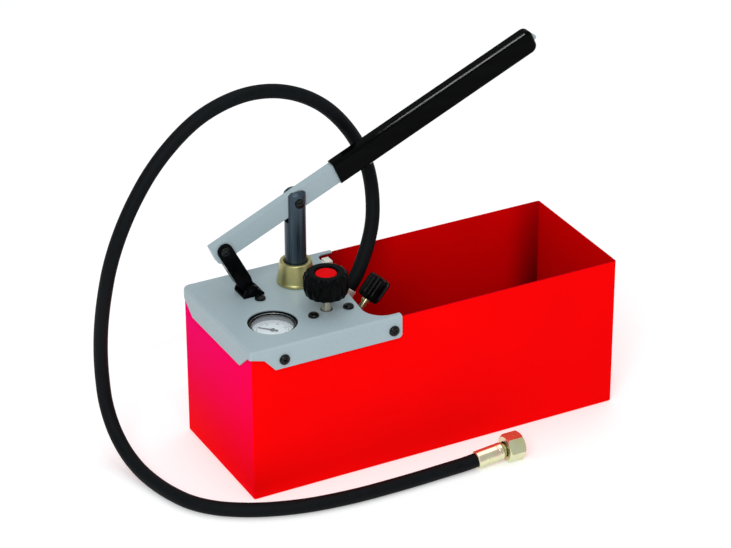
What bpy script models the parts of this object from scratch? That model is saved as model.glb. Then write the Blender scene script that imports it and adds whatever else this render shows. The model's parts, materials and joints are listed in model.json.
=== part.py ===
# Hydrostatic test pump: an open steel water tank, a sheet cover plate that carries a hand lever pump, a gauge,
# a shut-off valve and a drain valve, and a rubber pressure hose that ends in a union nut.
# The frame: origin at the centre of the tank's underside, +X along the tank to its open end, +Y to the back, +Z up.
from math import atan2, cos, pi, radians, sin, sqrt

import bmesh
import bpy
from mathutils import Matrix, Vector

for old in list(bpy.data.objects):
    bpy.data.objects.remove(old, do_unlink=True)

MM = 0.001
GAP = 0.3 * MM             # running and seating clearance between separate pieces
OVERRUN = 2 * MM           # how far a cut runs past the face that it opens
MERGE = 0.01 * MM

# Tank
TANK_LENGTH = 380 * MM
TANK_WIDTH = 142.6 * MM
TANK_HEIGHT = 152 * MM
TANK_SHEET = 1.2 * MM
TANK_FOLD = 1.6 * MM

# Cover plate
COVER_SHEET = 1.5 * MM
COVER_BEND = 1.3 * MM
COVER_CORNER = 7 * MM
GAUGE_IN = 43.8 * MM           # from the cover's left edge to the gauge's axis
SHUTOFF_IN = 54 * MM           # from there to the shut-off valve's axis
EDGE_IN = 27.8 * MM            # from there to the straight edge of the cut-out
CUT_DEPTH = 27.6 * MM          # from there to the tips of the two horns
CUT_BACK_DEPTH = 16.8 * MM     # the depth at the back, where the edge slants
CUT_RADIUS = 20 * MM
CUT_SLANT_START = 53 * MM      # from the front edge to where the edge begins to slant
HORN_WIDTH = 6.2 * MM
FLANGE_DROP = 22.8 * MM
FLANGE_TIP_DROP = 7.6 * MM
FLANGE_KNEE = 12.8 * MM
FLANGE_KNEE_DROP = 10.8 * MM
FLANGE_CORNER = 23.5 * MM
FLANGE_END_CHAMFER = 4 * MM
SIDE_TIP = 7.6 * MM
SIDE_CORNER = 23 * MM
SIDE_BACK_TIP = 6 * MM

# Screws of the cover
SCREW_HEAD_R = 5.1 * MM
SCREW_HEAD_H = 3 * MM
SCREW_CROWN_SHARES = [(0.5, 0.94), (0.86, 0.66), (1, 0.28)]     # of the head's radius and height
SCREW_R = 2.4 * MM
SCREW_LENGTH = 12 * MM
RECESS_WIDTH = 1.1 * MM
RECESS_SPAN = 5.4 * MM
RECESS_DEPTH = 1.6 * MM
FLANGE_SCREW_DROP = 13.9 * MM
FLANGE_SCREW_FIRST = 33.8 * MM     # from the cover's left edge
FLANGE_SCREW_LAST = 8.6 * MM       # from the horn tip
NUT_ACROSS = 8 * MM
NUT_HEIGHT = 4 * MM
SCREW_1_OUT = 17 * MM              # left of the pump body's block
SCREW_2_SHARE = 0.41               # of the way from the block's left side to the shut-off valve
SCREW_3_IN = 8.8 * MM              # left of the cut-out's straight edge
SCREW_4_OUT = 5.6 * MM             # right of the gland nut's skirt
SCREW_4_BACK = 6.4 * MM            # behind the plunger's axis
SCREW_FRONT = 6.9 * MM             # screws 2 and 3, in front of the shut-off valve

# Plunger, gland and pump body
PLUNGER_LEFT = 0.4 * MM        # left of the shut-off valve's axis
PLUNGER_Y = 31 * MM
PLUNGER_R = 10 * MM
PLUNGER_OVER_PIN = 10 * MM     # from the axis of its pin to its top
PLUNGER_CHAMFER = 2.4 * MM
GLAND_WALL = 2.3 * MM
GLAND_STEP = 2.4 * MM          # from the neck out to the top rim
GLAND_FLARE = 3 * MM           # from the top rim out to the skirt
GLAND_HEIGHT = 22 * MM
GLAND_NECK = 14 * MM
GLAND_MOUTH = 1.6 * MM
GLAND_MOUTH_DEPTH = 2.4 * MM
GLAND_RIM = 0.8 * MM
GLAND_SKIRT = 3.6 * MM
GLAND_SKIRT_EDGE = 2.2 * MM
GLAND_SKIRT_STEP = 0.7 * MM
PACKING_HEIGHT = 6 * MM

BODY_CLEAR = 3.2 * MM          # between the gauge's case and the block
BODY_IN = 7.8 * MM             # from the cut-out's straight edge to the block's right side
BODY_FRONT_MARGIN = 16 * MM    # in front of the shut-off valve's axis
BODY_BACK_MARGIN = 21 * MM     # behind the plunger's axis
BODY_HEIGHT = 60 * MM
BODY_TOE = 22 * MM             # how far the foot of the sloped face lies out from the block
BODY_TOE_HEIGHT = 18 * MM
ARM_LENGTH = 38 * MM
ARM_WIDTH = 24 * MM
ARM_HEIGHT = 18 * MM
EAR_FLOOR = 1.2 * MM
BODY_EDGE = 1.2 * MM

CYLINDER_ROOM = 1.4 * MM
CYLINDER_WALL = 4.6 * MM
CYLINDER_SEAT = 12 * MM
FOOT_FLANGE = 6 * MM
FOOT_NECK = 8 * MM
BALL_R = 4.5 * MM
BALL_ROOM = 1.2 * MM
BALL_TRAVEL = 3 * MM
PORT_R = 2.6 * MM
STRAINER_R = 13 * MM
STRAINER_WALL = 1.4 * MM
STRAINER_HEIGHT = 27 * MM
STRAINER_SLOT = 2.4 * MM
STRAINER_SLOT_LENGTH = 19.4 * MM
STRAINER_SLOTS = 8
STRAINER_CLEAR = 5.2 * MM      # above the tank's floor

DELIVERY_FRONT = 31 * MM       # in front of the plunger's axis
DELIVERY_WALL = 1.3 * MM
DELIVERY_SEAT = 4 * MM
DELIVERY_PLUG = 9 * MM
DELIVERY_DEPTH = 36 * MM

# Lever, link and their pins
LEVER_ANGLE = radians(24)
LINK_ANGLE = radians(27.5)       # how far the link leans to the left
LEVER_ARM = 80.6 * MM            # from the link's pin to the plunger's pin
LEVER_HEIGHT = 20 * MM
LEVER_THICK = 8 * MM
LEVER_TAIL = 10.5 * MM
LEVER_TAIL_CORNER = 1.2 * MM
LEVER_TANG_HEIGHT = 15 * MM
LEVER_TANG_THICK = 5 * MM
GRIP_START = 125.5 * MM
GRIP_LENGTH = 226 * MM
GRIP_HEIGHT = 24.4 * MM
GRIP_THICK = 12.4 * MM
GRIP_EDGE = 3.4 * MM
GRIP_CORNER = 7 * MM
GRIP_LAP = 5 * MM
TONGUE_R = 2.4 * MM
TONGUE_OUT = 5 * MM
PIN_R = 4 * MM
PIN_HEAD_R = 4.7 * MM
PIN_HEAD_H = 3 * MM
PIN_HEAD_SHARES = [(0.5, 0.92), (0.8, 0.6), (0.84, 0.36), (1, 0.3)]     # of the head's radius and height
LEVER_PIN_HEAD_H = 2.1 * MM
CLIP_R = 6.4 * MM
CLIP_THICK = 1.6 * MM
SLOT_ROOM = 0.8 * MM             # above and below the plunger's pin in the lever's slot
SLOT_BACK = 1.2 * MM             # play along the lever, behind the pin
SLOT_AHEAD = 4.2 * MM            # and ahead of it
FORK_DEPTH = 30.5 * MM
LINK_LENGTH = 51.6 * MM
LINK_PIN_RISE = 5.63 * MM        # above the cover
LINK_WIDTH = 14.8 * MM
LINK_SHEET = 2 * MM
LINK_FOOT_R = 5.1 * MM
LINK_WEB_TOP = 13 * MM           # how far the web stays below the lever's pin
LINK_PIN_R = 3 * MM
BRACKET_SHEET = 2 * MM
BRACKET_SIDE = 2 * MM            # between the link and each ear
BRACKET_LEFT = 8.4 * MM
BRACKET_RIGHT = 12.4 * MM
BRACKET_TOP_R = 6.6 * MM

# Gauge
GAUGE_Y = -29 * MM
GAUGE_R = 22.8 * MM
GAUGE_WALL = 1.8 * MM
GAUGE_RIM_DROP = 1.2 * MM        # rim of the case below the cover's top
GAUGE_DEPTH = 28 * MM
DIAL_ROOM = 4 * MM               # between the dial and its glass
DIAL_THICK = 0.8 * MM
LENS_DROP = 3.6 * MM
LENS_THICK = 1.4 * MM
BEZEL_WIDTH = 1.6 * MM
NEEDLE_LENGTH = 14 * MM
NEEDLE_TAIL = 5 * MM
NEEDLE_HALF = 0.9 * MM
NEEDLE_TIP_HALF = 0.3 * MM
NEEDLE_STRAIGHT = 5.6 * MM       # from the axis to where it begins to narrow
NEEDLE_THICK = 0.6 * MM
NEEDLE_RISE = 1.2 * MM
NEEDLE_HUB_R = 2.4 * MM
NEEDLE_PIVOT_R = 0.8 * MM
NEEDLE_START = radians(134)      # plan angle of the needle at rest
GAUGE_STEM_ACROSS = 14 * MM
GAUGE_STEM_R = 5 * MM
GAUGE_STEM_SEAT = 8 * MM
GAUGE_TIP_DROP = 4 * MM          # between the dial and the stem's tip

# Shut-off valve
SHUTOFF_Y = -30 * MM
KNOB_R = 21.2 * MM
KNOB_HEIGHT = 22 * MM
KNOB_RISE = 16.2 * MM            # from the cover to the underside of the knob
KNOB_SHOULDER = 4 * MM           # from the top ring out to the widest part
KNOB_SHOULDER_SHARES = [(0.7, 0.5), (1, 1.5)]     # of the shoulder, outwards and downwards
KNOB_TAPER = 2.2 * MM            # from the widest part in to the foot
KNOB_TAPER_HEIGHT = 6.6 * MM
KNOB_FLUTES = 16
KNOB_FLUTE_R = 3.4 * MM
KNOB_FLUTE_DEPTH = 1.5 * MM
CAP_R = 10.4 * MM
CAP_THICK = 2 * MM
CAP_DROP = 0.5 * MM
KNOB_SCREW_R = 4 * MM
KNOB_SCREW_H = 3 * MM
KNOB_SCREW_SHANK_R = 1.6 * MM
KNOB_SCREW_SHANK = 8 * MM
SPINDLE_R = 4.7 * MM
SPINDLE_DEPTH = 34 * MM
COVER_HOLE_ROOM = 1.1 * MM
PACKING_NUT_R = 8 * MM
PACKING_NUT_H = 10 * MM
SEAT_PAD_H = 3 * MM
VALVE_PITCH = 1.5 * MM

# Drain valve and hose outlet, square to the sloped face
VALVE_TILT = radians(50)
DRAIN_Y = -16 * MM
DRAIN_UP = 2.8 * MM             # up the sloped face from its middle
DRAIN_KNOB_R = 11.2 * MM
DRAIN_KNOB_LENGTH = 23 * MM
DRAIN_KNOB_RISE = 31.6 * MM
DRAIN_KNOB_EDGE = 1.2 * MM
DRAIN_KNOB_GRIP = 13.8 * MM     # how far the spindle goes into the knob
DRAIN_FLUTES = 8
DRAIN_FLUTE_R = 2.6 * MM
DRAIN_FLUTE_DEPTH = 1.5 * MM
DRAIN_SPINDLE_R = 3.1 * MM
DRAIN_SPINDLE_DEPTH = 12 * MM
DRAIN_COLLAR_R = 4.4 * MM
DRAIN_COLLAR_LENGTH = 3 * MM
BONNET_ACROSS = 13 * MM
BONNET_LENGTH = 8 * MM
BONNET_NECK_R = 5 * MM
OUTLET_Y = 20 * MM
OUTLET_UP = -0.7 * MM
OUTLET_ACROSS = 17 * MM
OUTLET_HEX = 6 * MM
OUTLET_NECK = 9 * MM
OUTLET_NECK_R = 5 * MM
BARB_R = 3 * MM
FERRULE_R = 8.2 * MM
START_FERRULE_LENGTH = 17.5 * MM
FERRULE_WAIST = 0.5 * MM
FERRULE_START_STEP = 0.6 * MM
FERRULE_END_STEP = 0.8 * MM
FERRULE_BAND_SHARES = [0, 0.05, 0.3, 0.36, 0.5, 0.56, 0.9, 1]     # of its length

# Bent clip beside the cut-out
CLIP_IN = 18.1 * MM            # from the cover's back edge to the middle of the clip
CLIP_WIDTH = 10 * MM
CLIP_FOOT = 11 * MM
CLIP_TAB = 7.2 * MM
CLIP_LIP = 9.6 * MM
CLIP_SHEET = 1.8 * MM

# Hose and its free end
HOSE_R = 6.7 * MM
END_Y = -117.2 * MM
END_FERRULE_X = 15 * MM
END_FERRULE_LIFT = 0.4 * MM    # at its hose end
END_FERRULE_LENGTH = 27 * MM
END_COLLAR_R = 7.6 * MM
END_COLLAR = 1.6 * MM
END_RECESS = 1.2 * MM
END_TAIL_R = 5.6 * MM
END_BARE = 3.2 * MM            # from the ferrule to the union nut
UNION_BORE_R = 9.8 * MM
UNION_WALL = 2.2 * MM
UNION_LENGTH = 17 * MM
UNION_CHAMFER = 1.7 * MM
UNION_BACK_WALL = 3 * MM
UNION_BACK_ROOM = 1.6 * MM
UNION_LIFT = 0.1 * MM
END_HEAD_ROOM = 0.8 * MM
END_HEAD = 2.4 * MM
SEAL_THICK = 1.6 * MM
SEAL_STEP = 0.2 * MM
SEAL_HOLE_R = 5 * MM

# Facet counts
ROUND_STEPS = 24
SMALL_STEPS = 12
RECESS_TURN = radians(21)
HOSE_RING_STEPS = 3
HOSE_STEPS = 66

# Places that follow from the sizes, along the cover from its left edge and up from the tank's rim
COVER_TOP = TANK_HEIGHT + GAP + COVER_SHEET
COVER_LEFT = -TANK_LENGTH / 2 - GAP - COVER_SHEET
COVER_HALF = TANK_WIDTH / 2 + GAP + COVER_SHEET
GAUGE_X = COVER_LEFT + GAUGE_IN
SHUTOFF_X = GAUGE_X + SHUTOFF_IN
EDGE_X = SHUTOFF_X + EDGE_IN
HORN_X = EDGE_X + CUT_DEPTH
PLUNGER_X = SHUTOFF_X - PLUNGER_LEFT
LEVER_PIN_X = PLUNGER_X - LEVER_ARM * cos(LEVER_ANGLE)
LEVER_PIN_Z = COVER_TOP + LINK_PIN_RISE + LINK_LENGTH * cos(LINK_ANGLE)
LINK_HALF = LEVER_THICK / 2 + GAP + LINK_SHEET
BRACKET_HALF = LINK_HALF + BRACKET_SIDE + BRACKET_SHEET
GLAND_NECK_R = PLUNGER_R + GAP + GLAND_WALL
GLAND_TOP_R = GLAND_NECK_R + GLAND_STEP
GLAND_BASE_R = GLAND_TOP_R + GLAND_FLARE
BODY_LEFT = GAUGE_X + GAUGE_R + BODY_CLEAR
BODY_RIGHT = EDGE_X - BODY_IN
BODY_FRONT = SHUTOFF_Y - BODY_FRONT_MARGIN
BODY_BACK = PLUNGER_Y + BODY_BACK_MARGIN
BODY_TOP = COVER_TOP - COVER_SHEET - GAP
BODY_BOTTOM = BODY_TOP - BODY_HEIGHT
CYLINDER_R = PLUNGER_R + CYLINDER_ROOM + CYLINDER_WALL
DELIVERY_Y = PLUNGER_Y - DELIVERY_FRONT
DELIVERY_R = BALL_R + BALL_ROOM + DELIVERY_WALL
KNOB_TOP_R = KNOB_R - KNOB_SHOULDER
KNOB_FOOT_R = KNOB_R - KNOB_TAPER
CLIP_Y = COVER_HALF - CLIP_IN
UNION_ACROSS = 2 * (UNION_BORE_R + UNION_WALL)
UNION_BACK_R = END_TAIL_R + UNION_BACK_ROOM
END_HEAD_R = UNION_BORE_R - END_HEAD_ROOM
SEAL_R = END_HEAD_R - SEAL_STEP
NUT_X = END_FERRULE_X + END_FERRULE_LENGTH + END_BARE
NUT_AXIS_Z = UNION_ACROSS / 2 + UNION_LIFT
HEAD_X = NUT_X + UNION_BACK_WALL + 4 * GAP + END_HEAD / 2
END_FERRULE_Z = FERRULE_R + END_FERRULE_LIFT
END_TILT = atan2(NUT_AXIS_Z - END_FERRULE_Z, HEAD_X - END_FERRULE_X)
SLOPE = Vector((cos(VALVE_TILT), 0, sin(VALVE_TILT)))
TOE = Vector((BODY_RIGHT + BODY_TOE, 0, BODY_BOTTOM + BODY_TOE_HEIGHT))
SLOPE_RISE = BODY_TOE * cos(VALVE_TILT) / sin(VALVE_TILT)
FACE = TOE + Vector((-BODY_TOE / 2, 0, SLOPE_RISE / 2))    # middle of the sloped face


def collection(name):
    group = bpy.data.collections.new(name)
    bpy.context.scene.collection.children.link(group)
    return group


PARTS = collection("hydrostatic_test_pump")
CUTTERS = collection("cutters")


def material(name, colour, roughness, metallic):
    made = bpy.data.materials.new(name)
    made.use_nodes = True
    shader = made.node_tree.nodes["Principled BSDF"]
    shader.inputs["Base Color"].default_value = (*colour, 1)
    shader.inputs["Roughness"].default_value = roughness
    shader.inputs["Metallic"].default_value = metallic
    return made


RED = material("red_paint", (0.85, 0.0, 0.01), 0.3, 0)
GREY = material("grey_paint", (0.36, 0.45, 0.49), 0.4, 0)
BLACK = material("black_plastic", (0.012, 0.012, 0.014), 0.35, 0)
GLOSS = material("gloss_black", (0.01, 0.01, 0.012), 0.15, 0)
BLACK_STEEL = material("black_steel", (0.015, 0.015, 0.017), 0.4, 0.3)
CAP_RED = material("cap_red", (0.9, 0.01, 0.02), 0.3, 0)
ROD = material("dark_steel", (0.05, 0.07, 0.09), 0.35, 0.6)
OLIVE = material("passivated_zinc", (0.55, 0.52, 0.22), 0.35, 0.8)
BRASS = material("brass", (0.7, 0.5, 0.2), 0.3, 1)
ZINC = material("zinc", (0.75, 0.76, 0.74), 0.3, 1)
CAST = material("cast_aluminium", (0.5, 0.5, 0.5), 0.5, 0.9)
STEEL = material("bright_steel", (0.6, 0.6, 0.6), 0.25, 1)
RUBBER = material("rubber", (0.01, 0.01, 0.01), 0.6, 0)
SEALING = material("white_seal", (0.8, 0.8, 0.76), 0.5, 0)
DIAL_WHITE = material("dial_white", (0.85, 0.86, 0.86), 0.5, 0)
GLASS = material("glass", (0.9, 0.93, 0.95), 0.05, 0)


def link(item, mat=None, parent=None):
    """Puts an object among the parts, or among the cutters where it has no material."""
    if mat is None:
        CUTTERS.objects.link(item)
        item.hide_render = True
        item.display_type = "WIRE"
        return item
    PARTS.objects.link(item)
    item.data.materials.clear()
    item.data.materials.append(mat)
    if parent is not None:
        item.parent = parent
    return item


def frame(name, place, turn=None, parent=None):
    """An empty that carries a group of pieces."""
    empty = bpy.data.objects.new(name, None)
    PARTS.objects.link(empty)
    empty.matrix_world = Matrix.Translation(place) @ (turn.to_4x4() if turn else Matrix.Identity(4))
    if parent is not None:
        empty.parent = parent
    bpy.context.view_layer.update()
    return empty


def box(name, low, high, mat=None, parent=None):
    """A box between two corners."""
    form = bmesh.new()
    bmesh.ops.create_cube(form, size=1)
    low = Vector(low)
    high = Vector(high)
    middle = (low + high) / 2
    size = high - low
    for corner in form.verts:
        corner.co = Vector(tuple(corner.co[k] * size[k] for k in range(3)))
    data = bpy.data.meshes.new(name)
    form.to_mesh(data)
    form.free()
    item = bpy.data.objects.new(name, data)
    item.location = middle
    return link(item, mat, parent)


def rod(name, radius, start, end, mat=None, parent=None, sides=SMALL_STEPS, turn=0.0):
    """A cylinder, or a prism of few sides, between two points."""
    start = Vector(start)
    end = Vector(end)
    along = end - start
    form = bmesh.new()
    bmesh.ops.create_cone(form, cap_ends=True, segments=sides, radius1=radius, radius2=radius,
                          depth=along.length)
    data = bpy.data.meshes.new(name)
    form.to_mesh(data)
    form.free()
    item = bpy.data.objects.new(name, data)
    lean = Vector((0, 0, 1)).rotation_difference(along).to_matrix().to_4x4()
    item.matrix_local = Matrix.Translation((start + end) / 2) @ lean @ Matrix.Rotation(turn, 4, "Z")
    return link(item, mat, parent)


def turned(name, profile, mat=None, parent=None, place=(0, 0, 0), along=(0, 0, 1), steps=ROUND_STEPS, ring=False):
    """A turned piece: (radius, height) points down its outer side, and back up its bore on a ring."""
    data = bpy.data.meshes.new(name)
    count = len(profile)
    edges = [(k, k + 1) for k in range(count - 1)]
    if ring:
        edges.append((count - 1, 0))
    data.from_pydata([(r, 0, z) for r, z in profile], edges, [])
    item = bpy.data.objects.new(name, data)
    lean = Vector((0, 0, 1)).rotation_difference(Vector(along)).to_matrix().to_4x4()
    item.matrix_local = Matrix.Translation(place) @ lean
    spin = item.modifiers.new("turn", "SCREW")
    spin.axis = "Z"
    spin.steps = steps
    spin.render_steps = steps
    spin.use_merge_vertices = True
    spin.merge_threshold = MERGE
    spin.use_smooth_shade = True
    return link(item, mat, parent)


def as_mesh(item, mat=None, parent=None):
    """Turns an object's evaluated shape into a plain mesh object of the same name and place."""
    bpy.context.view_layer.update()
    graph = bpy.context.evaluated_depsgraph_get()
    data = bpy.data.meshes.new_from_object(item.evaluated_get(graph))
    place = item.matrix_world.copy()
    name = item.name
    bpy.data.objects.remove(item, do_unlink=True)
    form = bmesh.new()
    form.from_mesh(data)
    bmesh.ops.remove_doubles(form, verts=form.verts, dist=MERGE)
    bmesh.ops.recalc_face_normals(form, faces=form.faces)
    form.to_mesh(data)
    form.free()
    data.name = name
    made = bpy.data.objects.new(name, data)
    link(made, mat, parent)
    made.matrix_world = place
    bpy.context.view_layer.update()
    return made


def plate(name, loops, thick, place, x_axis, y_axis, mat=None, parent=None):
    """A flat outline with holes, given thickness about its middle plane."""
    curve = bpy.data.curves.new(name, "CURVE")
    curve.dimensions = "2D"
    curve.fill_mode = "BOTH"
    curve.extrude = thick / 2
    for loop in loops:
        spline = curve.splines.new("POLY")
        spline.points.add(len(loop) - 1)
        for k, (a, b) in enumerate(loop):
            spline.points[k].co = (a, b, 0, 1)
        spline.use_cyclic_u = True
    item = bpy.data.objects.new(name, curve)
    x_axis = Vector(x_axis)
    y_axis = Vector(y_axis)
    turn = Matrix((x_axis, y_axis, x_axis.cross(y_axis))).transposed()
    item.matrix_world = Matrix.Translation(place) @ turn.to_4x4()
    CUTTERS.objects.link(item)
    return as_mesh(item, mat, parent)


def shape(item, tool, how="DIFFERENCE"):
    cut = item.modifiers.new(tool.name, "BOOLEAN")
    cut.operation = how
    cut.solver = "EXACT"
    cut.object = tool
    return item


def arc(cx, cy, radius, first, last, count):
    """Points along an arc, angles in degrees."""
    step = (last - first) / count
    return [(cx + radius * cos(radians(first + step * k)), cy + radius * sin(radians(first + step * k)))
            for k in range(count + 1)]


def circle(cx, cy, radius, count=SMALL_STEPS):
    return arc(cx, cy, radius, 0, 360 - 360 / count, count - 1)


def bevel_edges(item, test, width, segments):
    """Rounds the edges whose two ends pass a test."""
    form = bmesh.new()
    form.from_mesh(item.data)
    picked = [e for e in form.edges
              if test(e.verts[0].co) and test(e.verts[1].co) and e.calc_face_angle(0) > pi / 4]
    bmesh.ops.bevel(form, geom=picked, offset=width, offset_type="OFFSET", segments=segments, profile=0.5,
                    affect="EDGES", clamp_overlap=True)
    form.to_mesh(item.data)
    form.free()
    return item


def smooth(item, angle=radians(35)):
    item.data.shade_smooth()
    item.data.set_sharp_from_angle(angle=angle)
    return item


def cross_recess(name, place, out, parent=None):
    """A cross-shaped cutter that sinks into a screw head whose crown faces out."""
    out = Vector(out)
    lean = Vector((0, 0, 1)).rotation_difference(out).to_matrix().to_4x4()
    half = RECESS_SPAN / 2
    thin = RECESS_WIDTH / 2
    first = [(-half, -thin), (-thin, -thin), (-thin, -half), (thin, -half), (thin, -thin), (half, -thin),
             (half, thin), (thin, thin), (thin, half), (-thin, half), (-thin, thin), (-half, thin)]
    tool = plate(name, [first], 2 * RECESS_DEPTH, (0, 0, 0), (1, 0, 0), (0, 1, 0))
    tool.matrix_world = Matrix.Translation(place) @ lean @ Matrix.Rotation(RECESS_TURN, 4, "Z")
    return tool


# Tank: five faces of a box, folded and given the sheet's thickness

def tank():
    form = bmesh.new()
    bmesh.ops.create_cube(form, size=1)
    for corner in form.verts:
        corner.co = Vector((corner.co.x * TANK_LENGTH, corner.co.y * TANK_WIDTH,
                            (corner.co.z + 0.5) * TANK_HEIGHT))
    top = [f for f in form.faces if f.normal.z > sin(pi / 4)]
    bmesh.ops.delete(form, geom=top, context="FACES_ONLY")
    data = bpy.data.meshes.new("tank")
    form.to_mesh(data)
    form.free()
    item = bpy.data.objects.new("tank", data)
    link(item, RED)
    fold = item.modifiers.new("fold", "BEVEL")
    fold.width = TANK_FOLD
    fold.segments = 2
    fold.limit_method = "ANGLE"
    sheet = item.modifiers.new("sheet", "SOLIDIFY")
    sheet.thickness = TANK_SHEET
    sheet.offset = -1
    sheet.use_even_offset = True
    sheet.use_quality_normals = True
    return item


FLANGE_SCREWS = [(COVER_LEFT + FLANGE_SCREW_FIRST, -1), (HORN_X - FLANGE_SCREW_LAST, -1),
                 (COVER_LEFT + FLANGE_SCREW_FIRST, 1), (HORN_X - FLANGE_SCREW_LAST, 1)]
FLANGE_SCREW_Z = COVER_TOP - FLANGE_SCREW_DROP
BODY_SCREWS = [(BODY_LEFT - SCREW_1_OUT, PLUNGER_Y - BRACKET_HALF - SCREW_HEAD_R - 2 * GAP),
               (BODY_LEFT + (SHUTOFF_X - BODY_LEFT) * SCREW_2_SHARE, SHUTOFF_Y - SCREW_FRONT),
               (EDGE_X - SCREW_3_IN, SHUTOFF_Y - SCREW_FRONT),
               (PLUNGER_X + GLAND_BASE_R + SCREW_4_OUT, PLUNGER_Y + SCREW_4_BACK)]

tank_item = tank()
for k, (x, side) in enumerate(FLANGE_SCREWS):
    hole = rod(f"tank_hole_{k + 1}", SCREW_R + GAP,
               (x, side * (TANK_WIDTH / 2 - TANK_SHEET - OVERRUN), FLANGE_SCREW_Z),
               (x, side * (TANK_WIDTH / 2 + OVERRUN), FLANGE_SCREW_Z))
    shape(tank_item, hole)


# Cover plate: a flat top with holes, and three flanges

def cover_outline():
    edge = EDGE_X
    slant = HORN_X - CUT_BACK_DEPTH
    horn = COVER_HALF - HORN_WIDTH
    points = [(COVER_LEFT, -COVER_HALF), (HORN_X, -COVER_HALF), (HORN_X, -horn)]
    points += arc(edge + CUT_RADIUS, -horn + CUT_RADIUS, CUT_RADIUS, 270, 180, 8)
    points += [(edge, -COVER_HALF + CUT_SLANT_START)]
    inner = COVER_CORNER
    points += arc(slant + inner, horn - inner, inner, 180, 90, 5)
    points += [(HORN_X, horn), (HORN_X, COVER_HALF)]
    points += arc(COVER_LEFT + COVER_CORNER, COVER_HALF - COVER_CORNER, COVER_CORNER, 90, 180, 5)
    return points


def front_flange_outline():
    low = COVER_TOP - FLANGE_DROP
    left = COVER_LEFT + COVER_SHEET
    return [(left, COVER_TOP), (left, COVER_TOP - FLANGE_TIP_DROP),
            (left + FLANGE_KNEE, COVER_TOP - FLANGE_KNEE_DROP), (left + FLANGE_CORNER, low),
            (HORN_X - FLANGE_END_CHAMFER, low)] + \
        arc(HORN_X - FLANGE_END_CHAMFER, low + FLANGE_END_CHAMFER, FLANGE_END_CHAMFER, 270, 360, 4)[1:] + \
        [(HORN_X, COVER_TOP)]


def side_flange_outline():
    low = COVER_TOP - FLANGE_DROP
    front = -COVER_HALF + SIDE_TIP
    back = COVER_HALF - SIDE_BACK_TIP
    return [(front, COVER_TOP), (front, COVER_TOP - FLANGE_TIP_DROP - COVER_SHEET),
            (-COVER_HALF + SIDE_CORNER, low), (COVER_HALF - SIDE_CORNER, low),
            (back, COVER_TOP - FLANGE_KNEE_DROP), (back, COVER_TOP)]


def cover():
    holes = [circle(GAUGE_X, GAUGE_Y, GAUGE_R + 1.5 * GAP, ROUND_STEPS),
             circle(SHUTOFF_X, SHUTOFF_Y, SPINDLE_R + COVER_HOLE_ROOM, SMALL_STEPS),
             circle(PLUNGER_X, PLUNGER_Y, GLAND_NECK_R + GAP, ROUND_STEPS)]
    for x, y in BODY_SCREWS:
        holes.append(circle(x, y, SCREW_R + GAP, SMALL_STEPS))
    top = plate("cover_plate", [cover_outline()] + holes, COVER_SHEET,
                (0, 0, COVER_TOP - COVER_SHEET / 2), (1, 0, 0), (0, 1, 0))
    bores = [circle(x, FLANGE_SCREW_Z, SCREW_R + GAP) for x, side in FLANGE_SCREWS if side < 0]
    front = plate("front_flange", [front_flange_outline()] + bores, COVER_SHEET,
                  (0, -COVER_HALF + COVER_SHEET / 2, 0), (1, 0, 0), (0, 0, 1))
    back = plate("back_flange", [front_flange_outline()] + bores, COVER_SHEET,
                 (0, COVER_HALF - COVER_SHEET / 2, 0), (1, 0, 0), (0, 0, 1))
    side = plate("side_flange", [side_flange_outline()], COVER_SHEET,
                 (COVER_LEFT + COVER_SHEET / 2, 0, 0), (0, 1, 0), (0, 0, 1))
    for flange in (front, back, side):
        shape(top, flange, "UNION")
    whole = as_mesh(top, GREY)
    reach = MERGE * 2

    def at_bend(point):
        high = abs(point.z - COVER_TOP) < reach
        edge = abs(abs(point.y) - COVER_HALF) < reach or abs(point.x - COVER_LEFT) < reach
        return high and edge

    bevel_edges(whole, at_bend, COVER_BEND, 3)
    return smooth(whole)


cover_item = cover()


# Screws and nuts

def pan_screw(name, place, out, length, recess=True):
    """A screw whose head sits on a surface at place and whose crown faces out."""
    head = SCREW_HEAD_R
    crown = SCREW_HEAD_H
    profile = [(0, crown)] + [(head * r, crown * h) for r, h in SCREW_CROWN_SHARES]
    profile += [(head, GAP), (SCREW_R, GAP), (SCREW_R, -length), (0, -length)]
    item = turned(name, profile, BLACK_STEEL, None, place, out, SMALL_STEPS)
    if recess:
        bpy.context.view_layer.update()
        shape(item, cross_recess(name + "_recess", Vector(place) + Vector(out) * crown, out))
    return item


def nut(name, place, out, across, height, bore, mat):
    place = Vector(place)
    out = Vector(out)
    item = rod(name, across / 2 / cos(pi / 6), place, place + out * height, mat, None, 6)
    shape(item, rod(name + "_bore", bore, place - out * OVERRUN, place + out * (height + OVERRUN)))
    return item


for k, (x, side) in enumerate(FLANGE_SCREWS):
    out = (0, side, 0)
    reach = COVER_SHEET + GAP + TANK_SHEET + NUT_HEIGHT + GAP
    pan_screw(f"flange_screw_{k + 1}", (x, side * COVER_HALF, FLANGE_SCREW_Z), out, reach)
    nut(f"flange_nut_{k + 1}", (x, side * (TANK_WIDTH / 2 - TANK_SHEET - GAP), FLANGE_SCREW_Z), (0, -side, 0),
        NUT_ACROSS, NUT_HEIGHT, SCREW_R + GAP, ZINC)
for k, (x, y) in enumerate(BODY_SCREWS):
    pan_screw(f"body_screw_{k + 1}", (x, y, COVER_TOP), (0, 0, 1), SCREW_LENGTH)


# Pump body under the cover

def tilted(y, up, along):
    """A point on the axis of a fitting on the sloped face, at a distance out from the face."""
    return Vector((FACE.x, y, FACE.z)) + Vector((-SLOPE.z, 0, SLOPE.x)) * up + SLOPE * along


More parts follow.
